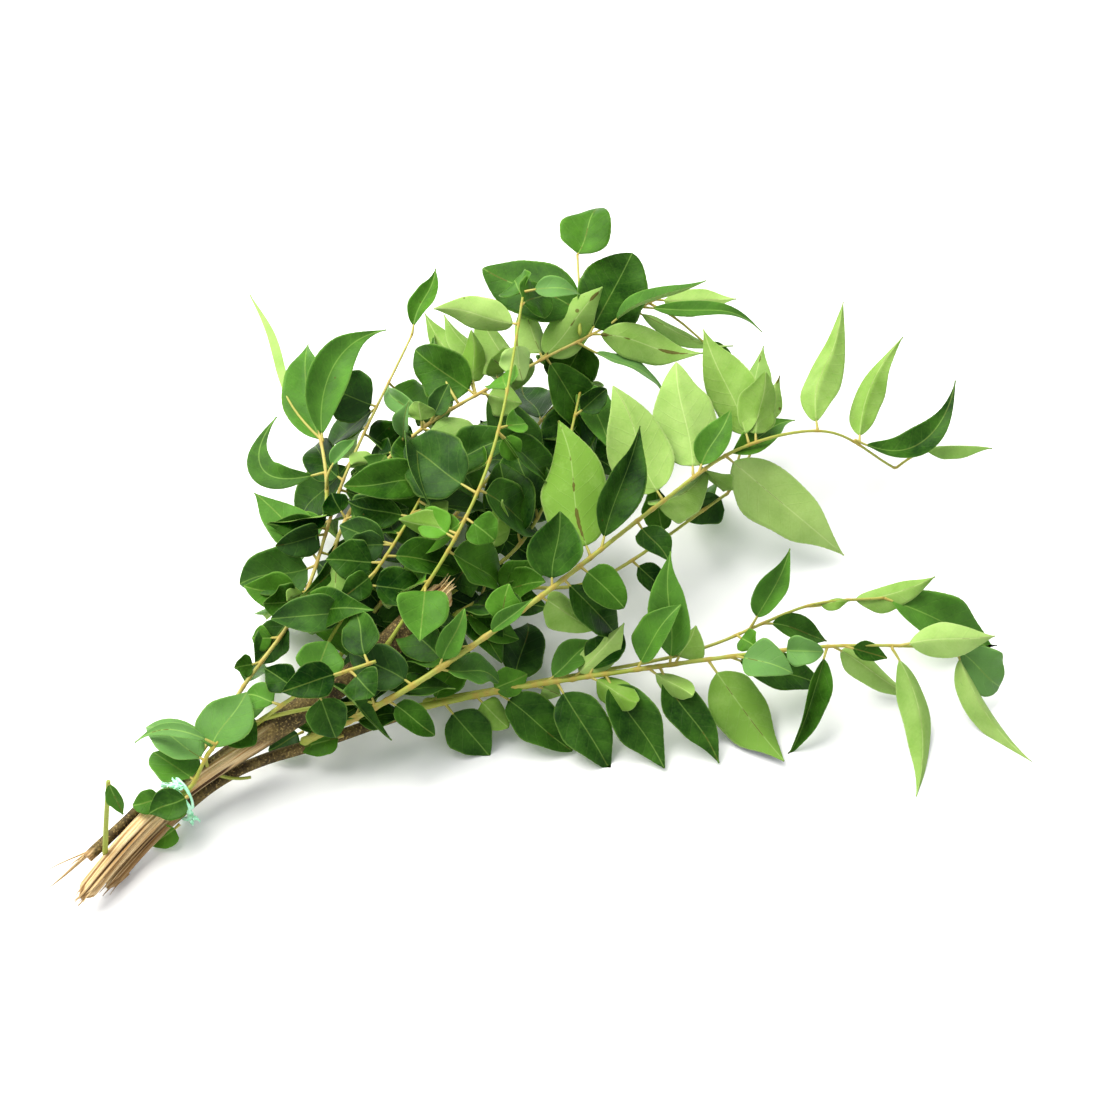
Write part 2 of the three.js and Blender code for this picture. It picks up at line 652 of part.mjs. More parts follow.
// The biggest body of a solid that a cut has left in several bits.
function biggest(solid) {
  const bodies = solid.decompose();
  return bodies.reduce((a, b) => (b.volume() > a.volume() ? b : a));
}

function apart(a, b) {
  return [0, 1, 2].some((k) => a.min[k] > b.max[k] + GAP || b.min[k] > a.max[k] + GAP);
}

const part = new THREE.Group();
const placed = [];
for (const piece of pieces) {
  let solid = wasm.Manifold.union(piece.members(0));
  for (const other of placed) {
    if (apart(solid.boundingBox(), other.box)) continue;
    for (const member of other.grown()) {
      if (!apart(solid.boundingBox(), member.boundingBox())) solid = solid.subtract(member);
    }
  }
  solid = biggest(solid);
  let grown = null;
  placed.push({
    box: solid.boundingBox(),
    grown: () => {
      grown = grown ?? piece.members(GAP);
      return grown;
    },
  });
  const { vertProperties, triVerts } = solid.getMesh();
  const geometry = new THREE.BufferGeometry();
  geometry.setAttribute('position', new THREE.BufferAttribute(vertProperties, 3));
  geometry.setIndex(new THREE.BufferAttribute(triVerts, 1));
  geometry.computeVertexNormals();
  const material = new THREE.MeshStandardMaterial({ color: piece.colour, roughness: 0.5, metalness: 0 });
  const mesh = new THREE.Mesh(geometry, material);
  mesh.name = piece.name;
  mesh.position.set(-CENTRE[0], -CENTRE[1], -CENTRE[2]);
  part.add(mesh);
}

export default part;
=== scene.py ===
# A bunch of fresh curry leaf branches, tied near the cut ends and lying on a white surface.
# Metres, +Z up, +X from the torn wood ends towards the leaf tips, as in the CAD frame.
from functools import partial

import bpy
import numpy as np
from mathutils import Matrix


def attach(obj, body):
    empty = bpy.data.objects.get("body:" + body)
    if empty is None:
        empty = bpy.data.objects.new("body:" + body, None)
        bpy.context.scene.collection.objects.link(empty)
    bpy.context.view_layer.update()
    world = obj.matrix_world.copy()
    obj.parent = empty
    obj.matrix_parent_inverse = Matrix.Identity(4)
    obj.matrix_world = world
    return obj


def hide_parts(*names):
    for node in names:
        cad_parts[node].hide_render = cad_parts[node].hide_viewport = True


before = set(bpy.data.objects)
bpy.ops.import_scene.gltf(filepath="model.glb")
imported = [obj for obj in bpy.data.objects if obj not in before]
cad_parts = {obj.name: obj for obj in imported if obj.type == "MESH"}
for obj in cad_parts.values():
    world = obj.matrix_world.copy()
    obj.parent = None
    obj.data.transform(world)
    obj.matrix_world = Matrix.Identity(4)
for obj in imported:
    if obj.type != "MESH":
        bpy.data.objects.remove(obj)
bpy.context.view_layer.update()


# ------------------------------------------------------------
# The view: a long lens looks down at the bunch from in front of the cut ends and to the right.
# Routes and leaflet rows are in millimetres, and CENTRE is where they put the frame's origin.
MM = 0.001
CENTRE = np.array([-39.2, -26.5, 1.28])
EYE_TARGET = -CENTRE
EYE_DISTANCE = 715
EYE_HEIGHT = np.radians(50)
EYE_TURN = np.radians(-45)


def make_camera():
    """Looks at EYE_TARGET from EYE_DISTANCE away: turned about the vertical, then raised."""
    back = np.array([np.sin(EYE_TURN) * np.cos(EYE_HEIGHT),
                     -np.cos(EYE_TURN) * np.cos(EYE_HEIGHT),
                     np.sin(EYE_HEIGHT)])
    lens = bpy.data.cameras.new("camera")
    lens.lens = 65
    lens.sensor_width = 36
    lens.clip_end = 20
    camera = bpy.data.objects.new("camera", lens)
    camera.location = (EYE_TARGET + back * EYE_DISTANCE) * MM
    camera.rotation_euler = (np.pi / 2 - EYE_HEIGHT, 0, EYE_TURN)
    bpy.context.scene.collection.objects.link(camera)
    bpy.context.scene.camera = camera


make_camera()


# ------------------------------------------------------------
# The surface and the light: a matt white paper sweep under a large soft box and a white room.
# The soft box stands behind and to the left, so the shadows fall softly to the front and right.
PAPER_HALF = 3.0
ROOM_STRENGTH = 0.74
BOX_SIZE = 1.3
BOX_POWER = 43
BOX_PLACE = (-0.1, 0.75, 1.25)


def linear(hex_colour):
    """sRGB hex to linear red, green, blue and alpha: ((s + 0.055) / 1.055) ** 2.4, or s / 12.92 in
    the darkest part."""
    srgb = np.array([int(hex_colour[i:i + 2], 16) for i in (1, 3, 5)]) / 255
    low = srgb / 12.92
    high = ((srgb + 0.055) / 1.055) ** 2.4
    return (*np.where(srgb <= 0.04045, low, high).tolist(), 1.0)


def add_node(tree, kind, sockets=None, **settings):
    """Adds a shader node with its settings. sockets gives each input a value, or the output that
    feeds it, or the node whose first output in use feeds it."""
    node = tree.nodes.new("ShaderNode" + kind)
    for name, value in settings.items():
        setattr(node, name, value)
    for name, value in (sockets or {}).items():
        if isinstance(value, bpy.types.Node):
            value = next(output for output in value.outputs if output.enabled)
        if isinstance(value, bpy.types.NodeSocket):
            tree.links.new(value, node.inputs[name])
        else:
            node.inputs[name].default_value = value
    return node


def new_material(name):
    """An empty node material, and add_node for its tree."""
    material = bpy.data.materials.new(name)
    material.use_nodes = True
    material.node_tree.nodes.clear()
    return material, partial(add_node, material.node_tree)


def make_surface():
    """A flat square of white paper with its top at height 0."""
    corners = [(x * PAPER_HALF, y * PAPER_HALF, 0) for x, y in ((-1, -1), (1, -1), (1, 1), (-1, 1))]
    mesh = bpy.data.meshes.new("paper")
    mesh.from_pydata(corners, [], [(0, 1, 2, 3)])
    # Matt coated paper: no gloss, and a faint cool cast in its shadows.
    paper, add = new_material("white_paper")
    add("OutputMaterial", {"Surface": add("BsdfPrincipled", {
        "Base Color": linear("#f6f7f9"), "Roughness": 0.9, "Specular IOR Level": 0.2})})
    mesh.materials.append(paper)
    floor = bpy.data.objects.new("paper", mesh)
    bpy.context.scene.collection.objects.link(floor)


def make_lights():
    """A white room, and one square soft box that faces the middle of the bunch."""
    world = bpy.data.worlds.new("room")
    world.use_nodes = True
    room = world.node_tree.nodes["Background"].inputs
    room["Color"].default_value = linear("#fbfcff")
    room["Strength"].default_value = ROOM_STRENGTH
    bpy.context.scene.world = world
    light = bpy.data.lights.new("soft_box", "AREA")
    light.size = BOX_SIZE
    light.energy = BOX_POWER
    light.color = linear("#fffcf4")[:3]
    lamp = bpy.data.objects.new("soft_box", light)
    x, y, z = lamp.location = BOX_PLACE
    lamp.rotation_euler = (-np.arctan2(y, z), np.arctan2(x, z), 0)
    bpy.context.scene.collection.objects.link(lamp)


make_surface()
make_lights()
bpy.context.scene.view_settings.view_transform = "Standard"


# ------------------------------------------------------------
# The wood: two torn branches and a dead stub. Thin brown bark with pale corky specks covers them.
# Where they were torn from the bush the wood is bare: pale straw, split along its grain, and it
# ends in long loose fibres.
LOWEST = 0.05  # nothing reaches lower than this above the surface
MAIN_ROUTE = [[-207, -2, 9], [-185, 2, 12], [-162, 4, 14], [-134, 0, 18], [-115, -5, 23],
              [-103, -8, 27], [-88, -10, 31], [-58, -11, 38]]
MAIN_RADIUS = (3.2, 4.8)
SECOND_ROUTE = [[-198, -2, 4.2], [-180, 1, 6.2], [-162, 2.4, 7.7], [-148, 1.5, 8.5],
                [-134, -2.5, 9], [-117, -10.5, 9.5], [-88, -22.5, 10]]
SECOND_RADIUS = (2.4, 1.8)
STUB_ROUTE = [[-197, 7.5, 10], [-189, 8, 11], [-181, 8.8, 11.5], [-175, 9.6, 12]]
STUB_RADIUS = (1.9, 1.5)
FACING = np.radians(-57)  # where round a branch its torn face lies: high, on the near side
WOOD_SIDES = 48
RIDGE_DEPTH = 0.35  # of bare wood
FLATTENED = 0.9  # how much lower the torn face lies where a branch is thickest
BARK_THICK = 0.25
GROOVE_HALF = 0.14  # half a groove's width, as an angle
CORE = 0.2  # share of the radius that is left at a torn end
FIBRE_SIDES = 8
FIBRE_TAPER = 0.85
FIBRE_FLAT = 0.45  # thickness as a share of width


def smooth_route(route):
    """Points 1 mm apart on the curve through a route: uniform Catmull-Rom, whose end tangents
    follow its end pieces, resampled by length. Also gives the curve's length."""
    knots = np.array(route, float)
    knots = np.vstack([2 * knots[0] - knots[1], knots, 2 * knots[-1] - knots[-2]])
    t = np.linspace(0, 1, 60, endpoint=False)[:, None]
    weights = 0.5 * np.stack([-t + 2 * t ** 2 - t ** 3, 2 - 5 * t ** 2 + 3 * t ** 3,
                              t + 4 * t ** 2 - 3 * t ** 3, -t ** 2 + t ** 3])
    curve = np.vstack([sum(weights[j] * knots[k + j] for j in range(4))
                       for k in range(len(knots) - 3)] + [knots[-2:-1]])
    along = np.append(0, np.cumsum(np.linalg.norm(np.diff(curve, axis=0), axis=1)))
    even = np.linspace(0, along[-1], max(4, round(along[-1])) + 1)
    return np.stack([np.interp(even, along, curve[:, k]) for k in range(3)], 1), along[-1]


def unit(vectors):
    """Vectors divided by their lengths."""
    return vectors / np.linalg.norm(vectors, axis=-1, keepdims=True)


def carry(path, radius, sides, reference=(0.05, 0.1, 1.0)):
    """A round section of the given radius (one per point, or one per point and side) carried along
    a path: centre + radius (cos a side - sin a up), where side is the path's direction crossed
    with the reference and up is at right angles to both."""
    ahead = unit(np.gradient(path, axis=0))
    side = unit(np.cross(ahead, reference))
    up = np.cross(side, ahead)
    angle = np.linspace(0, 2 * np.pi, sides, endpoint=False)[None, :, None]
    radius = np.broadcast_to(np.asarray(radius, float).reshape(len(path), -1), (len(path), sides))
    across = np.cos(angle) * side[:, None] - np.sin(angle) * up[:, None]
    return path[:, None] + radius[..., None] * across


def add_piece(name, lofts, materials, node):
    """One mesh of closed lofts, which stands for a CAD node. A loft is (rings[n, m, 3] in mm, two
    vectors [n, m, 3] that the materials read, strip materials [m]). Neighbouring rings are joined
    by quads, and the first and last ring are each closed by one flat face. A strip material of
    -1 - k is material k on a flat margin."""
    points, faces, numbers, flat, first, second = [], [], [], [], [], []
    start = 0
    for rings, one, two, strips in lofts:
        n, m = rings.shape[:2]
        grid = start + np.arange(n * m).reshape(n, m)
        right = np.roll(grid, -1, 1)
        quads = np.stack([grid[:-1], right[:-1], right[1:], grid[1:]], -1).reshape(-1, 4)
        strip = np.tile(strips, n - 1)
        faces += quads.tolist() + [grid[0, ::-1].tolist(), grid[-1].tolist()]
        numbers.append(np.append(np.where(strip < 0, -1 - strip, strip), [0, 0]))
        flat.append(np.append(strip < 0, [True, True]))
        for values, new in ((points, rings), (first, one), (second, two)):
            values.append(np.broadcast_to(new, (n, m, 3)).reshape(-1, 3))
        start += n * m
    places = np.vstack(points) - CENTRE
    places[:, 2] = np.maximum(places[:, 2], LOWEST)
    mesh = bpy.data.meshes.new(name)
    mesh.from_pydata((places * MM).tolist(), [], faces)
    mesh.polygons.foreach_set("material_index", np.concatenate(numbers).astype(np.int32))
    mesh.polygons.foreach_set("use_smooth", ~np.concatenate(flat))
    for label, values in (("place", first), ("look", second)):
        attribute = mesh.attributes.new(label, "FLOAT_VECTOR", "POINT")
        attribute.data.foreach_set("vector", np.vstack(values).astype(np.float32).ravel())
    for material in materials:
        mesh.materials.append(material)
    mesh.update()
    piece = bpy.data.objects.new(name, mesh)
    bpy.context.scene.collection.objects.link(piece)
    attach(piece, "root")
    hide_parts(node)


def ramp(values, low, high):
    """0 below low, 1 above high and smooth between: 3 t ** 2 - 2 t ** 3."""
    t = np.clip((values - low) / (high - low), 0, 1)
    return t * t * (3 - 2 * t)


def wood_material():
    """Bark and bare wood on one branch. look is (how bare, how dark and how fresh the wood is);
    some of the dark is painted shade.
    place holds millimetres along the grain and round the branch: fibres 0.7 mm wide and splits
    2.5 mm apart run along it. The bark is mottled every 6 mm, with corky specks every 0.7 mm."""
    material, add = new_material("bark_and_torn_wood")
    place = add("Attribute", attribute_name="place")
    look = add("SeparateXYZ", {"Vector": add("Attribute", attribute_name="look")})
    bare, dark, fresh = look.outputs
    where = add("TexCoord").outputs["Object"]
    grain, split = (
        add("TexNoise", {"Scale": 1.0, "Detail": detail, "Vector": add("Mapping", {
            "Vector": place, "Scale": (1 / long, 1 / wide, 1)})})
        for long, wide, detail in ((18, 0.7, 3.0), (45, 2.5, 1.0)))
    mottle, cork = (
        add("TexNoise", {"Vector": where, "Scale": 1 / (size * MM), "Detail": detail})
        for size, detail in ((6, 4.0), (0.7, 2.0)))
    # Bare wood: tan with straw fibres, brown where it is dark, in part its own tone and in part
    # painted shade, near black down in the splits as painted shade, and cream where it is fresh.
    fibres = add("MapRange", {"Value": grain, "From Min": 0.35, "From Max": 0.62})
    opened = add("MapRange", {"Value": split, "From Min": 0.40, "From Max": 0.35})
    straw = linear("#b98d52")
    for factor, tint in ((fibres, "#ead3a2"), (dark, "#80592b"), (opened, "#4a3217"),
                         (fresh, "#f3d79c")):
        straw = add("Mix", {"Factor": factor, 6: straw, 7: linear(tint)}, data_type="RGBA")
    # Bark: two browns, pale corky specks and dark pits.
    browns = add("MapRange", {"Value": mottle, "From Min": 0.35, "From Max": 0.65})
    specks = add("MapRange", {"Value": cork, "From Min": 0.57, "From Max": 0.66, "To Max": 0.7})
    pits = add("MapRange", {"Value": cork, "From Min": 0.42, "From Max": 0.34, "To Max": 0.7})
    bark = linear("#3a2f18")
    for factor, tint in ((browns, "#6a5a31"), (specks, "#a18a54"), (pits, "#2f2415")):
        bark = add("Mix", {"Factor": factor, 6: bark, 7: linear(tint)}, data_type="RGBA")
    colour = add("Mix", {"Factor": bare, 6: bark, 7: straw}, data_type="RGBA")
    relief = add("Math", {0: grain, 1: split}, operation="ADD")
    relief = add("Math", {0: relief, 1: bare}, operation="MULTIPLY")
    relief = add("Math", {0: cork, 1: 0.8, 2: relief}, operation="MULTIPLY_ADD")
    bump = add("Bump", {"Height": relief, "Strength": 0.8, "Distance": 0.5 * MM})
    add("OutputMaterial", {"Surface": add("BsdfPrincipled", {
        "Base Color": colour, "Roughness": 0.78, "IOR": 1.45, "Specular IOR Level": 0.3,
        "Normal": bump})})
    return material


wood = wood_material()


def branch(route, radii, bare_at, dark_at, draw, rough=1.0, torn=(0, 0), grooves=()):
    """A tapering branch: its radius swells and shrinks by slow waves along it, and bare wood is
    ridged along the grain and a little flattened. bare_at and dark_at give how bare and how dark
    the wood is from the distance along and the angle round, measured from FACING, and the edge of
    the bark wanders by waves times rough. Some of that darkness is painted shade. At each end the
    wood thins to a core over a length, torn, that changes with the angle. A groove is an angle, a
    depth and the length over which it runs out, and the wood down in it is darkened as painted
    shade."""
    path, length = smooth_route(route)
    along = np.linspace(0, length, len(path))
    angle = np.linspace(0, 2 * np.pi, WOOD_SIDES, endpoint=False)
    away = (angle - FACING + np.pi) % (2 * np.pi) - np.pi
    along, away = np.meshgrid(along, away, indexing="ij")
    radius = radii[0] + (radii[1] - radii[0]) * along / length
    edge = 2.0 * np.sin(5 * away + along / 6) + 3.0 * np.sin(3 * away - along / 11)
    bare = bare_at(along + edge * rough, away + 0.12 * np.sin(along / 5))
    dark = dark_at(along, away)
    ridges = sum(draw.uniform(0.2, 0.5) * np.sin(k * away + draw.uniform(0, 6.3) + along / 90)
                 for k in (5, 9, 14, 20))
    lumps = sum(draw.uniform(0.1, 0.25) * np.sin(along / draw.uniform(5, 14) + k * away)
                for k in (0, 1, 2, 3))
    flat = FLATTENED * np.cos(away) ** 2 * (np.cos(away) > 0)
    radius = (radius - bare * (RIDGE_DEPTH * ridges + flat * radius / MAIN_RADIUS[1] + BARK_THICK)
              + lumps * radius / MAIN_RADIUS[1])
    for turn, depth, reach in grooves:
        cut = (np.exp(-((away - turn - along / 300) / GROOVE_HALF) ** 2)
               * ramp(-along, -reach, -0.5 * reach))
        radius = radius - depth * cut
        # Painted shade: the wood is darker down in each groove.
        dark = np.maximum(dark, cut)
    for end, tear in zip((along, length - along), torn):
        if tear:
            start = tear * (0.5 + 0.3 * np.sin(2 * away + 1) + 0.2 * np.sin(7 * away))
            radius = radius * (CORE + (1 - CORE) * ramp(end, start - 1, start + 3))
    place = np.stack([along, away * radius, np.zeros_like(along)], -1)
    look = np.stack([bare, np.clip(dark, 0, 1), np.zeros_like(along)], -1)
    return carry(path, radius, WOOD_SIDES), place, look, np.zeros(WOOD_SIDES, int)


def fibre(start, end, half, draw, bend=0.08, dark=0.0, fresh=0.0):
    """A loose fibre: flat, tapering by 1 - FIBRE_TAPER t ** 1.5, and bent a little to one side on
    its way by t sin(pi t)."""
    start, end = np.array(start, float), np.array(end, float)
    t = np.linspace(0, 1, 14)
    length = np.linalg.norm(end - start)
    bow = draw.uniform(-bend, bend, 3) * length
    path = start + (end - start) * t[:, None] + bow * np.sin(np.pi * t)[:, None] * t[:, None]
    radius = half * (1 - FIBRE_TAPER * t ** 1.5)
    angle = np.linspace(0, 2 * np.pi, FIBRE_SIDES, endpoint=False)
    shape = np.abs(np.cos(angle + draw.uniform(0, 3)))
    flat = FIBRE_FLAT + (1 - FIBRE_FLAT) * shape
    rings = carry(path, radius[:, None] * flat, FIBRE_SIDES)
    place = np.stack(np.broadcast_arrays((t * length)[:, None], shape * 2, 0.0), -1)
    return rings, place, np.array([1.0, dark, fresh]), np.zeros(FIBRE_SIDES, int)


def torn_fibres(draw, count, root, tip, out, splay, spread, reach, half, dark=None, fresh=0.0):
    """Fibres in a ring about a torn end. Each runs from the ring about root to the ring about tip,
    splayed by splay and moved on along out by its reach. spread, reach, half and dark are the
    limits between which each fibre's own are drawn."""
    for _ in range(count):
        turn, far = draw.uniform(0, 2 * np.pi), draw.uniform(*spread)
        ring = far * np.array([0, np.cos(turn), np.sin(turn)])
        end = tip + draw.uniform(*reach) * np.array(out) + ring * splay
        yield fibre(root + ring, end, draw.uniform(*half), draw, fresh=fresh,
                    dark=draw.uniform(*dark) if dark else 0.0)


def make_main_branch():
    """Bare on the face up to the tie, bare in a strip past it, bark beyond, torn again on top."""
    draw = np.random.default_rng(11)
    length = smooth_route(MAIN_ROUTE)[1]

    def bare_at(along, away):
        """The face at the end, the strip past it and the torn top, each with a soft edge."""
        end = ramp(-along, -44, -38) * ramp(-np.abs(away), -2.2, -1.7)
        strip = ramp(-along, -82, -70) * ramp(-np.abs(away - 0.45), -1.0, -0.7)
        return np.clip(np.maximum(end, strip) + ramp(along, length - 13, length - 9), 0, 1)

    def dark_at(along, away):
        """Painted shade: a little darker past the tie, and on the side away from the torn face,
        which faces down.
        """
        middle = ramp(along, 40, 48) * ramp(-along, -110, -90)
        return 0.15 * middle + 0.2 * ramp(-np.cos(away), -0.2, 0.6)

    add_piece("main_branch", [
        branch(MAIN_ROUTE, MAIN_RADIUS, bare_at, dark_at, draw, torn=(2.5, 4),
               grooves=((-0.9, 1.0, 30), (0.1, 1.3, 42), (0.75, 1.6, 40), (1.5, 1.0, 25))),
        *torn_fibres(draw, 9, (-198, 0, 10.2), (-207, -2, 8.8), (-1, 0, 0), (1, 1.2, 1.15),
                     spread=(0.5, 2.6), reach=(0, 2.5), half=(0.3, 0.9), dark=(0, 0.5)),
        *torn_fibres(draw, 11, (-64, -11, 37), (-58, -11, 39), (1, 0, 0.5), (1, 1.2, 1.1),
                     spread=(0.5, 3.2), reach=(0.5, 3.5), half=(0.5, 1.1), fresh=1.0),
    ], [wood], "branch_main")


def make_second_branch():
    """The lower branch is torn dark and ragged at its end, and barked past the tie."""
    draw = np.random.default_rng(12)

    def bare_at(along, away):
        """Bare to 36 mm along, all but a strip on the side away from the torn face."""
        return ramp(-along, -36, -28) * ramp(-np.abs(away), -2.4, -1.8)

    def dark_at(along, away):
        """Darker and lighter twice round."""
        return 0.4 + 0.3 * np.sin(2 * away)

    add_piece("second_branch", [
        branch(SECOND_ROUTE, SECOND_RADIUS, bare_at, dark_at, draw, torn=(2.5, 3),
               grooves=((-0.4, 0.8, 34), (0.6, 0.8, 34))),
        *torn_fibres(draw, 4, (-190, -1.3, 4.2), (-198, -2.5, 3.4), (-1, 0, 0), (1, 1.2, 0.9),
                     spread=(0.3, 1.8), reach=(0, 3), half=(0.3, 0.7), dark=(0.3, 0.9)),
    ], [wood], "branch_second")


def make_stub():
    """A dead twig beside the cut end, barked, with long pale fibres that hang to the surface."""
    draw = np.random.default_rng(13)
    lofts = [branch(STUB_ROUTE, STUB_RADIUS, lambda along, away: ramp(-along, -3, -1),
                    lambda along, away: np.full_like(along, 0.5), draw, rough=0.2)]
    for start, end, half in (((-192, 9, 10), (-210, 12, 2.2), 0.9),
                             ((-193, 9, 9.4), (-209, 18, 1.6), 0.4),
                             ((-193, 9, 10), (-203, 11, 7), 0.6),
                             ((-194, 9.5, 10), (-201, 10, 7), 0.5)):
        lofts.append(fibre(start, end, half, draw, bend=0.05))
    add_piece("dead_stub", lofts, [wood], "stub_dead")


make_main_branch()
make_second_branch()
make_stub()


# ------------------------------------------------------------
# The leaflets: thin, slightly leathery blades, dark and softly glossy above, pale lime and matt
# below, with a pale midrib, faint side veins, a fine toothed margin and a tip that narrows to a
# blunt point. Each grows from a frond's stalk by a short green stalk of its own.
BLADE_THICK = 0.3  # a real blade is about this thick
MARGIN_THICK = 0.14
VEIN_SPACING = 5.0
TOOTH = 2.3  # length of one tooth of the margin
TOOTH_DEPTH = 0.007  # as a share of the width
ACROSS = np.array([-1, -0.86, -0.68, -0.46, -0.22, 0, 0.22, 0.46, 0.68, 0.86, 1])
CREASE = 0.03  # how softly the blade folds at its midrib
RIB_DEPTH, RIB_HALF = 0.3, 0.5
OUTLINE_POWER = 0.72
MARGIN_WAVE = 0.035  # in and out, as a share of the width
BLADE_STEP = 0.9  # along a blade
LEAST_HALF = 0.3  # of a blade's width
DROOP_FROM = 0.55  # share of the length past which the tip droops
TWIST_ABOUT = 0.4  # share of the length where the twist is nil
VEIN_SLOPE, VEIN_CURVE = 0.8, 0.015  # side veins lean towards the tip, more so near the margin
GAP = 0.3  # from a frond's stalk to a clear leaflet's, as in the CAD model
STALK_RADIUS = (0.55, 0.38)
STALK_SIDES = 7
STALK_RIPE = 0.45
INTO_BLADE = 0.6  # how far a stalk runs on into its blade, in steps of its own
JOINT_LENGTH = 1.5
STEEPEST = np.radians(55)
REST_Z = 1.3
SOFT_Z = 2.0
REST = None
USUAL = (15, 25, 3, 0)  # curl, fold, stalk length and sweep


def settle(points):
    """The surface presses what would go through it flat: below SOFT_Z, z becomes
    SOFT_Z exp(z / SOFT_Z - 1), which runs on smoothly and stays above 0."""
    z = points[..., 2]
    low = SOFT_Z * np.exp((np.minimum(z, SOFT_Z) - SOFT_Z) / SOFT_Z)
    points[..., 2] = np.where(z >= SOFT_Z, z, low)
    return points


def pointing(base, row):
    """Unit vector from a leaflet's base to its tip. A lift of REST brings the tip down to REST_Z,
    but no more steeply than STEEPEST."""
    heading, lift, length = np.radians(row[1]), row[2], row[4]
    drop = max((REST_Z - base[2]) / length, -np.sin(STEEPEST))
    raised = np.arcsin(drop) if lift is REST else np.radians(lift)
    level = np.cos(raised)
    return np.array([np.cos(heading) * level, np.sin(heading) * level, np.sin(raised)])


def bending(row):
    """A row's curl, fold, stalk length and sweep, with the usual value for each it leaves out."""
    return (*row[6:], *USUAL[len(row) - 6:])


def midrib(q, base, row, habit):
    """Place, side and up vectors of a leaflet's midrib at shares q of its length. It is an arc from
    base to tip that bends by curl and bows sideways by sweep. habit sways it by sin(2 pi q) to the
    side, arches it by that upwards, droops its last part by a square, and twists it."""
    heading, roll, length = np.radians(row[1]), np.radians(row[3]), row[4]
    curl, _, _, sweep = bending(row)
    ahead = pointing(base, row)
    level = np.array([np.sin(heading), -np.cos(heading), 0])
    above = np.cross(level, ahead)
    up = above * np.cos(roll) - level * np.sin(roll)
    side = level * np.cos(roll) + above * np.sin(roll)
    bend = np.radians(curl or 1)
    arc = length / (2 * np.sin(bend / 2))
    bow = length * np.radians(sweep) / 8
    angle = bend * (0.5 - q)
    wave = np.sin(2 * np.pi * q)
    late = np.clip((q - DROOP_FROM) / (1 - DROOP_FROM), 0, None)
    place = (base + ahead * (arc * (np.sin(bend / 2) - np.sin(angle)))[:, None]
             + up * (arc * (np.cos(angle) - np.cos(bend / 2)))[:, None]
             + side * (bow * 4 * q * (1 - q) + habit["sway"] * wave)[:, None]
             + up * (habit["arch"] * wave - habit["droop"] * late ** 2)[:, None] * length)
    raised = up * np.cos(angle)[:, None] - ahead * np.sin(angle)[:, None]
    forward = unit(np.gradient(place, axis=0))
    side = unit(np.cross(forward, raised))
    raised = np.cross(side, forward)
    turn = habit["twist"] * (q - TWIST_ABOUT)[:, None]
    return (place, side * np.cos(turn) + raised * np.sin(turn),
            raised * np.cos(turn) - side * np.sin(turn))


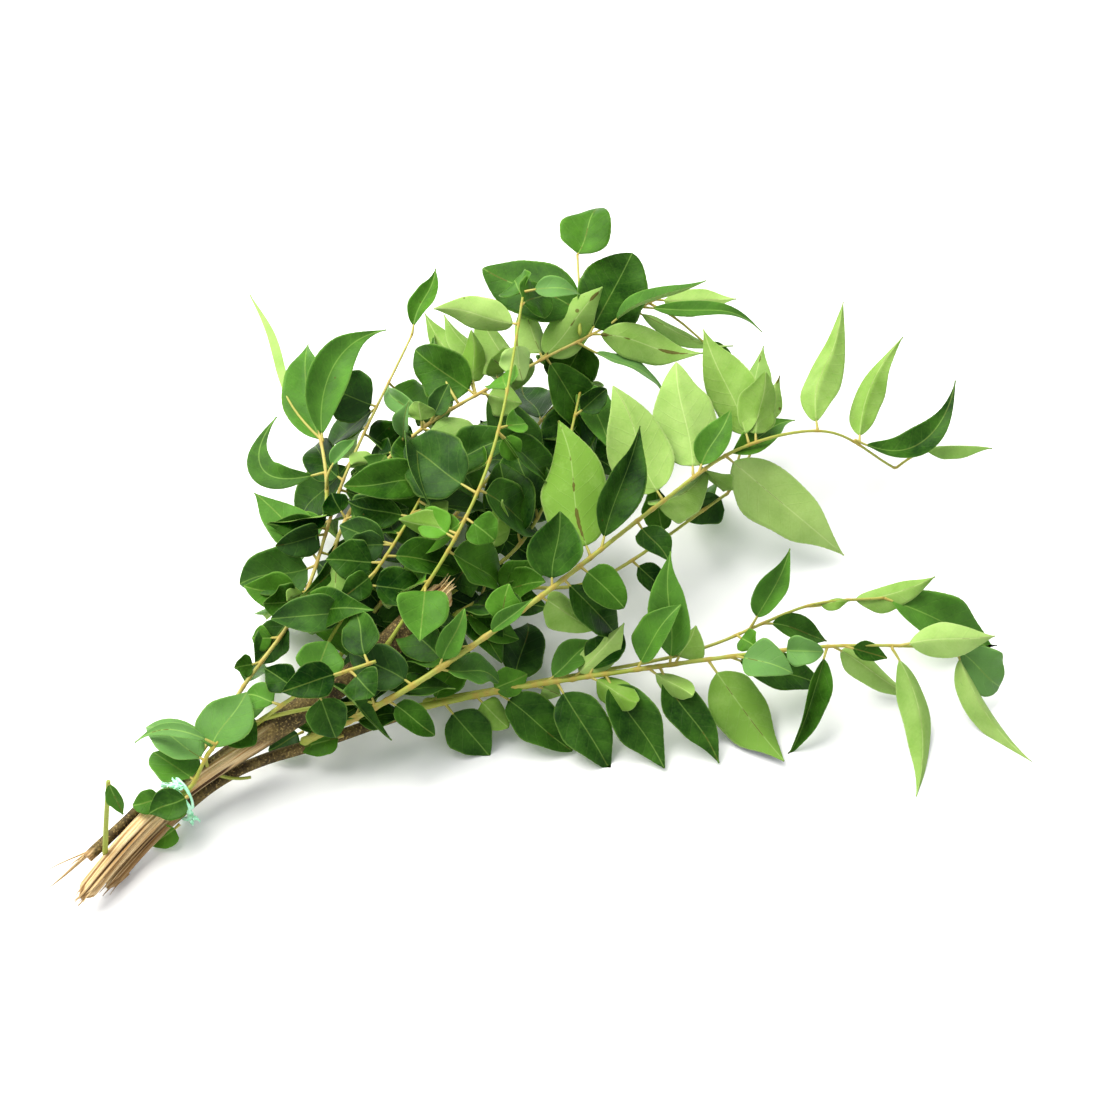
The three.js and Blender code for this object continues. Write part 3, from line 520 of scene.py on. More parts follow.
def leaflet(root, base, row, habit):
    """A blade and its stalk as two lofts. At share b of the blade each half is
    width / 2 * sin(pi b ** p) wide, narrowed near the tip, blunter at both ends where blunt is
    under 1, and raised about the midrib by fold. The two halves cup a little, and their margins
    wave in and out and up and down. habit adds to what the CAD row says: it gives the tip's extra
    droop, the twist, the size of the waves and the colours."""
    length, width = row[4], row[5]
    _, fold, stalk, _ = bending(row)
    blade = length - stalk
    b = np.linspace(0, 1, int(np.clip(blade / BLADE_STEP, 16, 56))) ** 0.92
    place, out, raised = midrib((stalk + b * blade) / length, base, row, habit)
    tip = 1 - habit["point"] * ramp(b, 0.6, 0.97)
    teeth = (TOOTH_DEPTH * width * np.abs(np.sin(np.pi * b * blade / TOOTH))
             * ramp(b, 0.08, 0.2) * ramp(-b, -0.97, -0.85))
    half, lift = [], []
    for lopsided, count, phase, high in zip((-habit["lopsided"], habit["lopsided"]),
                                            habit["count"], habit["phase"], habit["waves"]):
        outline = np.sin(np.pi * b ** (OUTLINE_POWER + lopsided))
        outline = np.maximum(outline, 0) ** habit["blunt"] * tip
        sinuous = 1 + MARGIN_WAVE * np.sin(2 * np.pi * count * 1.5 * b + 2 * phase)
        half.append(np.maximum(width / 2 * outline * sinuous + teeth, LEAST_HALF))
        wave = np.sin(2 * np.pi * count * b + phase)
        lift.append(high * wave * ramp(b, 0, 0.25) * half[-1] / (width / 2))
    right = ACROSS[None] > 0
    half, lift = (np.where(right, values[1][:, None], values[0][:, None])
                  for values in (half, lift))
    u = np.abs(ACROSS)[None]
    lean = np.radians(fold + habit["folded"])
    crease = np.sqrt(u ** 2 + CREASE) - np.sqrt(CREASE)
    height = half * (np.sin(lean) * crease + habit["cup"] * (u ** 2 - u)) + lift * u ** 1.6
    sheet = settle(place[:, None] + out[:, None] * (ACROSS[None] * half * np.cos(lean))[..., None]
                   + raised[:, None] * height[..., None])
    thick = MARGIN_THICK + (BLADE_THICK - MARGIN_THICK) * (1 - u ** 2)
    rib = RIB_DEPTH * np.exp(-(u * half / RIB_HALF) ** 2) * (1 - 0.7 * b)[:, None]
    top = sheet + raised[:, None] * (thick / 2)[..., None]
    bottom = sheet - raised[:, None] * (thick / 2 + rib)[..., None]
    rings = np.concatenate([top, bottom[:, ::-1]], 1)
    across = ACROSS[None] * half
    vein_start = (b * blade)[:, None] - VEIN_SLOPE * np.abs(across) - VEIN_CURVE * across ** 2
    where = np.stack([across, vein_start, np.broadcast_to(u, across.shape)], -1)
    where = np.concatenate([where, where[:, ::-1]], 1)
    look = np.array([habit["tone"], habit["grey"], habit["worn"]])
    strips = np.repeat([0, -1, 1, -1], [len(ACROSS) - 1, 1] * 2)
    stem = midrib(np.linspace(0, stalk / length, 6), base, row, habit)[0]
    if np.linalg.norm(root - base) > GAP:
        stem = np.vstack([root, stem])
    stem = np.vstack([stem, stem[-1] + (stem[-1] - stem[-2]) * INTO_BLADE])
    tube = settle(carry(stem, np.linspace(*STALK_RADIUS, len(stem)), STALK_SIDES))
    joint = np.exp(-np.linalg.norm(stem - root, axis=1) / JOINT_LENGTH)
    skin = np.stack([np.full_like(joint, STALK_RIPE), joint, 0 * joint], -1)[:, None]
    return (rings, where, look, strips), (tube, np.zeros(3), skin, np.full(STALK_SIDES, 2))


def leaf_material(name, dark, light, grey, vein, gloss, proud):
    """Living leaf under a thin skin. Two greens mottle it every 9 mm and a fine grain every 0.8 mm.
    Side veins leave the midrib every VEIN_SPACING mm. look is (tone, grey, wear): grey is a grey
    bloom, and on some leaflets a painted sheen; wear brings brown dots under 1 mm across, and
    above 1 also a dead streak along the midrib. proud is how far the veins stand out."""
    material, add = new_material(name)
    place, look = (add("SeparateXYZ", {"Vector": add("Attribute", attribute_name=label)})
                   for label in ("place", "look"))
    across, along, margin = place.outputs
    tone, bloom_and_sheen, wear = look.outputs
    where = add("TexCoord").outputs["Object"]
    mottle, fine, patchy = (
        add("TexNoise", {"Vector": where, "Scale": 1 / (size * MM), "Detail": detail})
        for size, detail in ((9, 5.0), (0.8, 2.0), (7, 3.0)))
    out = add("Math", {0: across}, operation="ABSOLUTE")
    # Side veins alternate: those on one side start half a spacing further on.
    late = add("Math", {0: across, 1: 0.0}, operation="GREATER_THAN")
    start = add("Math", {0: late, 1: VEIN_SPACING / 2, 2: along}, operation="MULTIPLY_ADD")
    start = add("Math", {0: mottle, 1: 3.0, 2: start}, operation="MULTIPLY_ADD")
    off = add("Math", {0: start, 1: VEIN_SPACING / 2}, operation="PINGPONG")
    side_vein = add("MapRange", {"Value": off, "From Min": 0.3, "From Max": 0.0})
    faint = add("Math", {0: side_vein, 1: mottle}, operation="MULTIPLY")
    faint = add("Math", {0: faint, 1: 0.08}, operation="MULTIPLY")
    # The leaf's tone, its midrib and its thin paler margin.
    shade = add("Math", {0: mottle, 1: 0.9, 2: tone}, operation="MULTIPLY_ADD")
    shade = add("Math", {0: fine, 1: 0.25, 2: shade}, operation="MULTIPLY_ADD")
    shade = add("MapRange", {"Value": shade, "From Min": 0.57, "From Max": 1.5})
    strong = add("Math", {0: shade, 1: 0.25, 2: 0.22}, operation="MULTIPLY_ADD")
    rib = add("MapRange", {"Value": out, "From Min": 0.3, "From Max": 0.08})
    rib = add("Math", {0: rib, 1: strong}, operation="MULTIPLY")
    rim = add("MapRange", {"Value": margin, "From Min": 0.93, "From Max": 1.0, "To Max": 0.3})
    # Wear: dots whose size grows with it, and the dead streak.
    cells = add("TexVoronoi", {"Vector": where, "Scale": 1 / (8 * MM)})
    dot = add("Math", {0: wear, 1: 0.05}, operation="MULTIPLY")
    dot = add("Math", {0: dot, 1: cells.outputs["Distance"]}, operation="SUBTRACT")
    dot = add("MapRange", {"Value": dot, "From Min": -0.01, "From Max": 0.01, "To Max": 0.75})
    patchy = add("MapRange", {
        "Value": patchy, "From Min": 0.45, "From Max": 0.65, "To Min": -0.3, "To Max": 0.9})
    streak = add("Math", {0: wear, 1: -1.0}, operation="ADD")
    streak = add("Math", {0: streak, 1: patchy}, operation="MULTIPLY")
    streak = add("Math", {0: out, 1: -1.4, 2: streak}, operation="MULTIPLY_ADD")
    streak = add("MapRange", {"Value": streak, "From Min": 0.0, "From Max": 0.2, "To Max": 0.85})
    brown = add("Math", {0: dot, 1: streak}, operation="MAXIMUM")
    colour = linear(dark)
    for factor, tint in ((shade, light), (bloom_and_sheen, grey), (faint, vein), (rib, vein), (rim, vein),
                         (brown, "#4f4014")):
        colour = add("Mix", {"Factor": factor, 6: colour, 7: linear(tint)}, data_type="RGBA")
    relief = add("Math", {0: side_vein, 1: proud}, operation="MULTIPLY")
    relief = add("Math", {0: fine, 1: 0.35, 2: relief}, operation="MULTIPLY_ADD")
    relief = add("Math", {0: mottle, 1: 3.0, 2: relief}, operation="MULTIPLY_ADD")
    bump = add("Bump", {"Height": relief, "Strength": 0.5, "Distance": 0.25 * MM})
    rough = add("MapRange", {"Value": fine, "From Min": 0.3, "From Max": 0.7,
                             "To Min": gloss - 0.05, "To Max": gloss + 0.08})
    add("OutputMaterial", {"Surface": add("BsdfPrincipled", {
        "Base Color": colour, "Roughness": rough, "IOR": 1.45, "Specular IOR Level": 0.08,
        "Normal": bump, "Subsurface Weight": 0.12, "Subsurface Radius": (0.5, 1.0, 0.25),
        "Subsurface Scale": 0.6 * MM})})
    return material


# The upper face has a smooth wax skin, so it gives a broad soft sheen and its veins lie sunk.
leaf_upper = leaf_material("leaf_upper_wax_skin", "#0a2d02", "#568c28", "#6f9a5a", "#9cc45e",
                           gloss=0.42, proud=-0.5)
# The underside has no wax: it is matt and pale, and its veins stand proud.
leaf_under = leaf_material("leaf_underside_matt", "#6b9236", "#a1bf6c", "#8fb87c", "#c6d792",
                           gloss=0.6, proud=0.5)


def stalk_material():
    """Smooth green stalk skin that ripens to straw. look.x is how ripe it is and look.y how near a
    joint, which is ochre. It is mottled every 9 mm, with corky specks under a millimetre across."""
    material, add = new_material("stalk_skin")
    look = add("SeparateXYZ", {"Vector": add("Attribute", attribute_name="look")})
    where = add("TexCoord").outputs["Object"]
    mottle, cork = (
        add("TexNoise", {"Vector": where, "Scale": 1 / (size * MM), "Detail": detail})
        for size, detail in ((9, 3.0), (0.8, 2.0)))
    ripe = add("Math", {0: mottle, 1: 0.8, 2: look.outputs["X"]}, operation="MULTIPLY_ADD")
    ripe = add("MapRange", {"Value": ripe, "From Min": 0.4, "From Max": 1.4})
    joint = add("Math", {0: look.outputs["Y"], 1: 0.5}, operation="MULTIPLY")
    specks = add("MapRange", {"Value": cork, "From Min": 0.58, "From Max": 0.72, "To Max": 0.45})
    colour = linear("#929f3a")
    for factor, tint in ((ripe, "#c8b66c"), (joint, "#b0833c"), (specks, "#7e6a2d")):
        colour = add("Mix", {"Factor": factor, 6: colour, 7: linear(tint)}, data_type="RGBA")
    bump = add("Bump", {"Height": cork, "Strength": 0.35, "Distance": 0.15 * MM})
    add("OutputMaterial", {"Surface": add("BsdfPrincipled", {
        "Base Color": colour, "Roughness": 0.5, "IOR": 1.45, "Specular IOR Level": 0.35,
        "Normal": bump})})
    return material


stalk_skin = stalk_material()


# ------------------------------------------------------------
# The fronds: each is one compound leaf, a smooth green or tan stalk with leaflets on both sides.
# They grow from the torn branches, fork from one another, or are held by the tie beside them.
START = 0.2  # how far past the gap a clear leaflet starts
SLIM = 0.85  # a stalk's radius as a share of the CAD model's
JOINT_SWELL, JOINT_HALF = 0.18, 1.4
FOOT_SWELL, FOOT_LENGTH = 0.7, 3.5
DOME = 2.2  # length over which a stalk's foot is rounded
GREEN_FOOT = 15  # length over which a stalk turns from fresh green to its own colour
ROUGHNESS = 0.04  # as a share of the radius
FROND_SIDES = 10
BARE_RADIUS = (0.75, 0.5)
BARE_SIDES = 8
BARE_WIDTH = 1  # a row this wide is a bare stalk whose leaflets have gone


def alternate(first, last, count, heading, spread, length, width):
    """Leaflets set alternately to the left and right, hanging down to the surface. A wave keeps any
    two from being alike: sin(2.4 i + 5 first)."""
    wave = np.sin(2.4 * np.arange(count) + 5 * first)
    side = np.where(np.arange(count) % 2, 1, -1)
    share = first + (last - first) * np.arange(count) / (count - 1)
    turn = heading + side * (spread + 14 * wave)
    return [[share[i], turn[i], REST, side[i] * 12 + 10 * wave[i], length + 4 * wave[i],
             width - 2 * wave[i]] for i in range(count)]


# A route gives x, y and z in millimetres. A leaflet is [share of the stalk's length, heading, lift,
# roll, length, width, curl, fold, stalk length, sweep], as in the CAD model. Angles are in degrees,
# roll 180 has the underside up, and REST lets a leaflet hang down to the surface. Clear leaflets
# are CAD nodes of their own, and joined ones are in their frond's. tan is how tan the stalk is,
# where 0 is fresh green, and the last key says how much darker the leaflets of a frond low in the
# bunch are: painted shade.
FRONDS = {
  "middle": {
    "route": [[-123.4, -8.8, 14], [-107, -18, 21], [-85, -31, 36], [-45, -39, 46],
      [10, -39, 46], [50, -41, 46], [80, -56, 44], [98, -75, 26]],
    "radius": [1.25, 0.5], "tan": 0.2, "painted_shade": 0,
    "clear": [
      [0.86, 31, 5, -170, 58, 17, 10, 40, 3, 20],
      [0.93, 21, 13, -175, 47, 13, 25, 45, 3, 45],
      [0.92, -13, 7, -10, 44, 12, -60, 30, 3, 115],
      [1, -30, 4, -160, 36, 11, -25, 45, 12, 30],
      [0.72, -60, -40, 145, 60, 22, 10],
      [0.76, 65, 20, -140, 45, 20, 10],
      [0.66, 52, 20, -170, 43, 24, 0],
      [0.6, 68, 21, -165, 44, 23, 10],
      [0.48, 26, 28, -25, 42, 19, 10, 45],
      [0.46, 58, 21, -170, 49, 24, 5],
    ],
    "joined": [
      [0.39, 38, 35, 0, 25, 22, 15, 40],
      [0.77, 35, 35, 160, 25, 16],
      [0.58, 7, -20, 180, 34, 19, 20, 40],
      [0.72, 0, -15, -15, 40, 12],
      [0.67, 15, 25, 0, 25, 12],
      [0.37, -45, -45, 150, 25, 14],
      [0.41, -56, -54, -35, 36, 15],
      [0.11, 65, 5, 20, 25, 15],
      [0.17, 100, 0, 30, 25, 15],
      [0.22, 80, -10, 30, 30, 15],
      [0.21, 13, 42, -25, 21, 11, 10, 40],
      [0.28, -20, 30, -15, 20, 8, 10, 40],
      [0.3, 22, 50, -25, 15, 12],
      [0.02, 75, -10, -15, 14, 12, 10, 20, 2],
      [0.03, 60, 5, 0, 20, 12, 10, 20, 5],
      [0.04, -5, 10, 15, 22, 12, 10, 20, 4],
      [0.08, 20, 5, 10, 22, 13],
      [0.13, -72, -25, -20, 19, 11],
      [0.26, 120, -30, 10, 30, 16],
      [0.34, 95, -40, -10, 34, 17],
      [0.44, -80, -25, -10, 20, 14],
      [0.07, -25, -15, 0, 20, 12],
      [0.14, -15, -20, 10, 24, 14],
      [0.21, -35, -25, 10, 22, 13],
      [0.55, -95, -20, -10, 17, 11, 10, 15],
      [0.68, 0, -60, 10, 24, 15],
    ],
  },
  "front": {
    "route": [[-87.2, -25.3, 14], [-64, -40, 15], [-45, -55, 18], [0, -92, 24], [25, -114, 26],
      [52, -138, 22]],
    "radius": [1.2, 0.5], "tan": 0.1, "painted_shade": 0,
    "clear": [
      [0.88, -127, REST, -175, 49, 14, 20, 40, 4, 60],
      [1, -97, REST, 170, 44, 15, 15, 55, 3, -35],
      [0.89, -35, -5, 150, 32, 14, -80, 30],
      [0.76, -158, REST, 30, 38, 14, 10, 50],
      [0.54, -92, REST, 165, 40, 21, 10, 20, 4],
      [0.58, -40, REST, -25, 40, 14],
      [0.45, -97, REST, -15, 36, 14],
      [0.35, -98, REST, -10, 35, 18],
      [0.26, -99, REST, -15, 33, 18],
      [0.15, -76, REST, -10, 30, 17, 10, 30],
      [0.05, -85, REST, -25, 22, 16],
      [0.18, 37, -12, -15, 35, 16],
    ],
    "joined": [
      [0.77, -55, -36, 145, 38, 13, 20, 50, 4],
      [0.03, 25, -10, -15, 25, 15],
      [0.41, -5, 54, 15, 27, 16],
      [0.47, 45, 50, 15, 38, 15],
      [1, -62, -40, -45, 24, 18, 20],
      [0.79, -55, -15, -20, 15, 8],
      [0.59, -70, 8, -15, 20, 15, 30, 30],
      [0.68, -60, 15, -40, 13, 12, 30, 40, 1],
      [0.43, -90, 10, 150, 20, 13, 50, 50],
      [0.32, -85, 10, 155, 20, 14, 50, 50],
      [0.22, -50, -30, 140, 10, 8],
      [0.11, -85, -25, 165, 15, 11],
      [0.13, -20, 10, -25, 15, 11],
      [0.29, -5, 25, 175, 25, 13],
      [0.24, 0, 5, -5, 25, 12],
      [0.32, 10, 10, 10, 20, 14],
      [0.48, 15, 10, -175, 15, 13],
    ],
  },
  "fork": {
    "route": [[-82, -22, 9], [-50, -45, 12], [-18, -68, 15], [0, -79, 18], [30, -93, 24],
      [52, -108, 22]],
    "radius": [0.9, 0.5], "tan": 0.25, "painted_shade": 0,
    "clear": [
      [0.7, 5, 53, -5, 30, 13, 10, 45, 4, 20],
      [1, -54, REST, -25, 47, 19, 15, 20, 2],
    ],
    "joined": [
      [0.92, -35, 8, 170, 30, 11, 50],
      [0.73, -45, -20, -20, 25, 11, 20],
      [0.83, -35, 0, -175, 15, 6, 10, 40, 5],
      [0.67, -100, 20, -25, 10, 9],
    ],
  },
  "back": {
    "route": [[-88, 24, 22], [-60, 36, 40], [-25, 40, 50], [25, 34, 52], [50, 30, 52],
      [84, 29, 48]],
    "radius": [0.9, 0.5], "tan": 0.65, "painted_shade": 0.3,
    "clear": [
      [0.81, 21, 9, -25, 41, 26, 10, 15],
      [0.86, -27, 17, 20, 38, 11, 20, 40],
      [0.96, -44, -11, -10, 46, 8, 30, 30],
      [0.69, 5, 15, 160, 35, 17],
    ],
    "joined": [
      *alternate(first=0.12, last=0.78, count=10, heading=0, spread=70, length=40, width=20),
      [0.82, -50, -10, 145, 40, 14],
      [1, -40, -5, 155, 30, 12, 20],
      [0.94, -59, -16, 175, 38, 8, 40, 30],
      [0.98, -70, -25, -35, 40, 8, 30, 30, 25],
      [0.78, -55, -30, 15, 40, 8, 20, 20, 8],
      [0.79, 130, -75, 80, 25, 20, 5, 10, 2],
      [0.54, 50, 25, 180, 25, 15, 5, 45, 5],
      [0.54, 97, 10, 45, 29, 20],
      [0.42, 75, -15, 50, 35, 9, 10, 30, 6],
      [0.54, 70, 0, -150, 45, 10, 10, 30, 22],
      [0.5, 65, 0, 65, 40, 8, 10, 40, 14],
      [0.63, 140, 50, -110, 12, 14],
      [0.55, -55, -10, 145, 15, 14],
      [0.43, 15, 30, -15, 15, 9],
      [0.41, 55, 65, -155, 10, 11],
      [0.41, -60, -10, 155, 27, 18, 20, 15],
      [0.36, -15, 80, -25, 20, 9],
      [0.38, -122, 9, 40, 42, 13, 60, 30, 3, 60],
      [0.11, -125, 20, -160, 35, 10],
      [0.09, -150, 25, 55, 25, 8, 80],
      [0.18, -60, 30, -30, 25, 14],
      [0.18, 85, 40, 40, 10, 12],
      [0.24, 0, 40, -10, 15, 13],
      [0.31, 170, 30, -105, 15, 11, 30, 50],
      [0.6, 84, 11, 165, 34, 14],
      [0.64, 78, 8, 165, 30, 15, 10, 20],
      [0.7, 62, 8, 165, 26, 14],
    ],
  },
  "top_twig": {
    "route": [[46, 31, 54], [57, 42, 59], [67, 53, 65]],
    "radius": [0.6, 0.5], "tan": 0.6, "painted_shade": 0,
    "clear": [],
    "joined": [
      [1, 27, 9, 5, 26, 20, 5, 10, 1],
      [0.3, 110, 8, 22, 39, 23, 20, 10, 2],
    ],
  },
  "left": {
    "route": [[-170, 8.5, 10], [-150, 11, 13], [-124, 18, 20], [-92, 24, 32], [-50, 49, 42],
      [9, 80, 46]],
    "radius": [0.9, 0.5], "tan": 0.6, "painted_shade": 0.2,
    "clear": [
      [1, 30, 10, -5, 30, 10, 20, 30],
      [0.77, 70, REST, 25, 45, 22, 15, 10, 4],
    ],
    "joined": [
      *alternate(first=0.38, last=0.88, count=9, heading=50, spread=75, length=38, width=21),
      [0.55, 146, 20, 40, 21, 9],
      [0.49, 90, 19, 5, 33, 15, 20, 15],
      [0.65, 75, -15, 35, 30, 15],
      [0.58, 170, 25, 75, 25, 11, 20, 60],
      [0.54, 170, 20, 55, 20, 13],
      [0.48, 150, -3, 30, 26, 20],
      [0.42, 130, 10, 35, 20, 14],
      [0.41, 165, 30, 45, 15, 15],
      [0.34, 120, -20, 55, 11, 9],
      [0.43, -155, 40, -105, 20, 6],
      [0.39, -75, 35, -40, 35, 16],
      [0.24, 40, REST, -10, 30, 10],
      [0.18, -40, 20, -30, 15, 10],
      [0.29, 155, 5, 45, 9, 8],
      [0.82, 125, 20, 30, 21, 20, 10, 10, 2],
      [0.38, 175, -35, 15, 20, 13],
    ],
  },
  "left_fork": {
    "route": [[-66, 41, 40], [-57, 51, 46], [-47, 66, 50]],
    "radius": [0.8, 0.6], "tan": 0.6, "painted_shade": 0,
    "clear": [
      [0.8, 22, 8, -20, 50, 16, 45, 30, 2, -85],
      [0.42, 82, 5, 20, 32, 10, 20, 20, 2, -220],
      [0.83, 67, 6, -130, 68, 7, -30, 40, 20, 15],
    ],
    "joined": [
      [0.8, 55, 5, 15, 46, 19, 20, 20, 2, -20],
      [0.25, 15, 25, 5, 20, 9, 90, 50, 8],
    ],
  },
  "top": {
    "route": [[-88, -12, 34], [-50, -8, 58], [-15, 9, 68], [38, 50, 74]],
    "radius": [0.75, 0.5], "tan": 0.0, "painted_shade": 0,
    "clear": [
      [0.39, 90, -5, 30, 35, 23, 10, 10, 5],
      [0.86, 117, 0, -115, 29, 14, 15, 25, 1],
    ],
    "joined": [
      *alternate(first=0.1, last=0.55, count=7, heading=25, spread=65, length=36, width=18),
      [0.96, -40, -5, -20, 20, 9, 70, 20, 4],
      [0.95, 60, -20, 35, 16, 14, 10, 10, 2],
      [0.92, 15, -25, -45, 20, 16, 10, 10, 2],
      [0.82, -125, -55, -165, 15, 13],
      [0.66, 50, -30, 25, 20, 14],
      [0.56, -10, -20, -25, 12, 10],
      [0.55, -70, -55, -25, 12, 9],
      [0.16, -137, 5, 5, 24, 18],
      [0.29, 115, 0, -125, 20, 11],
      [0.28, 95, 0, 20, 16, 12],
      [0.33, -80, -15, -20, 12, 13],
    ],
  },
  "under": {
    "route": [[-60, -14, 28], [-40, -19, 29], [-10, -34, 22], [50, -39, 22]],
    "radius": [0.8, 0.6], "tan": 0.3, "painted_shade": 0.45,
    "clear": [],
    "joined": [
      [1, 160, -20, 55, 18, 14],
      [0.73, 60, 50, 35, 20, 12],
      [1, 30, 20, -175, 60, 14, 30, 40, 30],
      [1, 20, 20, -170, 50, 11, 40, 50, 30],
      [0.1, 25, 50, 175, 35, 9, 10, 30, 18],
      [0.14, -30, 30, -30, 20, 14],
      [0.14, -70, 10, -30, 20, 12],
      [0.17, -70, 40, -30, 20, 13],
      [0.6, -70, -40, -20, 18, 10],
      [0.9, 40, REST, 20, 35, 14],
      [0.02, -60, -20, -10, 22, 13],
      [0.05, -100, -25, 10, 22, 13],
    ],
  },
  "inner": {
    "route": [[-112, -3, 26], [-97, 3, 36], [-65, 8, 50], [-32, 21, 53]],
    "radius": [0.7, 0.5], "tan": 0.0, "painted_shade": 0.6,
    "clear": [],
    "joined": [
      [0.49, 180, -5, 45, 15, 10],
      [0.43, -42, -16, -20, 20, 15],
      [0.61, 110, 0, 55, 20, 13],
      [0.61, 130, -5, 50, 15, 12],
      [0.53, 135, 5, 35, 18, 15],
      [0.82, -90, 15, 165, 15, 11],
      [0.74, 110, -10, 60, 25, 12],
      [0.66, 60, -40, 20, 40, 16],
      [0.49, 100, -60, 20, 40, 16],
      [0.93, 150, 10, 30, 30, 17],
      [0.98, -30, 20, -10, 30, 17],
      [0.56, -35, -25, -10, 30, 16],
      [0.31, 150, 10, 30, 25, 15],
      [0.76, -20, -20, 10, 34, 18],
      [0.88, 60, -10, -10, 34, 18],
    ],
  },
  "inner_right": {
    "route": [[-58, -6, 28], [-30, -14, 38], [5, 0, 40], [43, 26, 38]],
    "radius": [0.8, 0.5], "tan": 0.2, "painted_shade": 0.7,
    "clear": [
      [0.93, -155, -35, 10, 30, 20, 10, 10, 2],
    ],
    "joined": [
      [0.6, 180, -10, 30, 20, 20, 10, 10, 2],
      [0.83, -5, 15, -40, 15, 11, 10, 30, 3],
      [0.18, 65, 35, 10, 20, 13],
      [0.29, 60, 20, 10, 30, 20],
      [0.39, 60, 15, 10, 30, 18],
      [0.03, -15, 55, -30, 20, 17],
      [0.74, 60, -50, 10, 45, 16],
      [0.96, 40, -50, 10, 45, 16],
      [0.5, -30, -40, 10, 34, 18],
      [0.55, 95, -20, 10, 36, 19],
      [0.12, 110, -10, 20, 30, 18],
      [1, -117, -16, 0, 31, 14],
    ],
  },
  "bed": {
    "route": [[-100, 8, 10], [-75, 13, 15], [-45, 18, 20], [-15, 24, 22], [15, 31, 20],
      [42, 40, 14]],
    "radius": [1.0, 0.6], "tan": 0.4, "painted_shade": 0.9,
    "clear": [],
    "joined": [
      *alternate(first=0.06, last=0.98, count=17, heading=12, spread=60, length=39, width=19),
      [1, 20, REST, 0, 30, 14],
    ],
  },
  "over": {
    "route": [[-134, 3, 21], [-115, -9, 38], [-97, -19, 43]],
    "radius": [0.9, 0.6], "tan": 0.15, "painted_shade": 0.3,
    "clear": [],
    "joined": [
      [0.12, 162, -3, 30, 16, 14, 10, 20, 2],
      [0.65, -70, -40, 30, 30, 8, 10, 40],
      [0.56, 25, 25, -10, 15, 16],
      [0.82, -90, -10, -20, 12, 13],
      [0.47, 105, 15, 25, 14, 12],
      [0.95, 60, 10, 20, 20, 13],
      [0.78, 160, 5, 30, 20, 13],
      [0.12, -40, 8, 0, 36, 1, 25, 0, 30],
      [0.58, -105, -48, -10, 19, 14, 10, 20, 5],
      [0.3, 110, -5, 10, 14, 11],
    ],
  },
  "shoot": {
    "route": [[-168, -0.5, 18.4], [-160, 0, 19.2], [-153, 1, 25], [-147, 1, 29]],
    "radius": [1.0, 0.5], "tan": 0.1, "painted_shade": 0,
    "clear": [],
    "joined": [
      [0.4, 97, -6, -15, 19, 16, 10, 15, 2],
      [0.95, 129, -5, 20, 27, 5, 50, 30, 3, 60],
      [0.8, 16, 18, 10, 23, 20, 10, 15, 2],
      [0.7, 98, -2, -10, 26, 15, 10, 15, 2],
      [0.88, -40, -60, 0, 20, 1, -150, 0, 18],
    ],
  },
}
# What sets some leaflets apart from the rest, and which they are, counted from 1.
LOOKS = [
    # A grey sheen, where the upper face mirrors the room.
    ({"tone": 0.55, "grey": 0.55}, {
        "front joined": [5, 7, 8], "back joined": [15, 19, 27], "top joined": [8],
        "left_fork joined": [2], "shoot joined": [2, 4]}),
    # Mid green.
    ({"tone": 0.55, "grey": 0.1}, {
        "middle joined": [11], "front joined": [3, 4], "fork clear": [1, 2], "back clear": [2, 3],
        "left joined": [11], "left_fork clear": [1], "left_fork joined": [1],
        "inner_right joined": [12], "over joined": [3, 10], "shoot joined": [1]}),
    ({"tone": 0.6, "grey": 0.05}, {"top joined": [15]}),
    ({"tone": 0.5, "grey": 0.3}, {"shoot joined": [3]}),
    # Dark, and darker still; the darkest are in part painted shade, for leaflets down in a hollow
    # of the bunch.
    ({"tone": 0.17, "grey": 0.03}, {
        "middle clear": [3, 9], "middle joined": [1, 10, 25, 26], "front clear": range(6, 12),
        "left clear": [2], "left joined": [10], "over joined": [2, 4, 6, 9]}),
    ({"tone": 0.05, "grey": 0.1}, {
        "middle joined": [8, 9], "back joined": [28], "top clear": [1], "top joined": [1]}),
    # A dead brown streak.
    ({"worn": 2.2, "tone": 0.3}, {
        "back clear": [4], "back joined": [11], "under joined": [3, 4]}),
    ({"worn": 2.2, "tone": 0}, {"middle clear": [10]}),
    # A long fine point.
    ({"point": 0.5}, {"left_fork clear": [1]}),
]


def usual_habit(draw, row):
    """How one leaflet differs from the next, drawn at random. Most are dark, and a few mid green.
    Short broad leaflets are rounder at both ends than long ones."""
    length, width = row[4], row[5]
    habit = {
        "droop": draw.uniform(-0.06, 0.12), "arch": draw.uniform(-0.035, 0.035),
        "twist": draw.uniform(-0.7, 0.7), "sway": draw.uniform(-0.025, 0.025) * length,
        "point": draw.uniform(0.1, 0.4), "lopsided": draw.uniform(-0.06, 0.06),
        "folded": draw.uniform(-12, 8), "cup": draw.uniform(-0.35, 0.35),
        "waves": draw.uniform(0.02, 0.08, 2) * width, "count": draw.uniform(0.9, 2.0, 2),
        "phase": draw.uniform(0, 6.3, 2), "tone": draw.beta(1.2, 1.9),
        "grey": draw.choice([0, 0.04, 0.12], p=[0.6, 0.25, 0.15]),
        "worn": draw.choice([0, 0.4, 0.8]),
    }
    broad = ramp(width / length, 0.4, 0.6)
    habit["blunt"] = 1 - broad * draw.uniform(0.1, 0.45)
    habit["point"] *= 1 - 0.6 * broad
    return habit


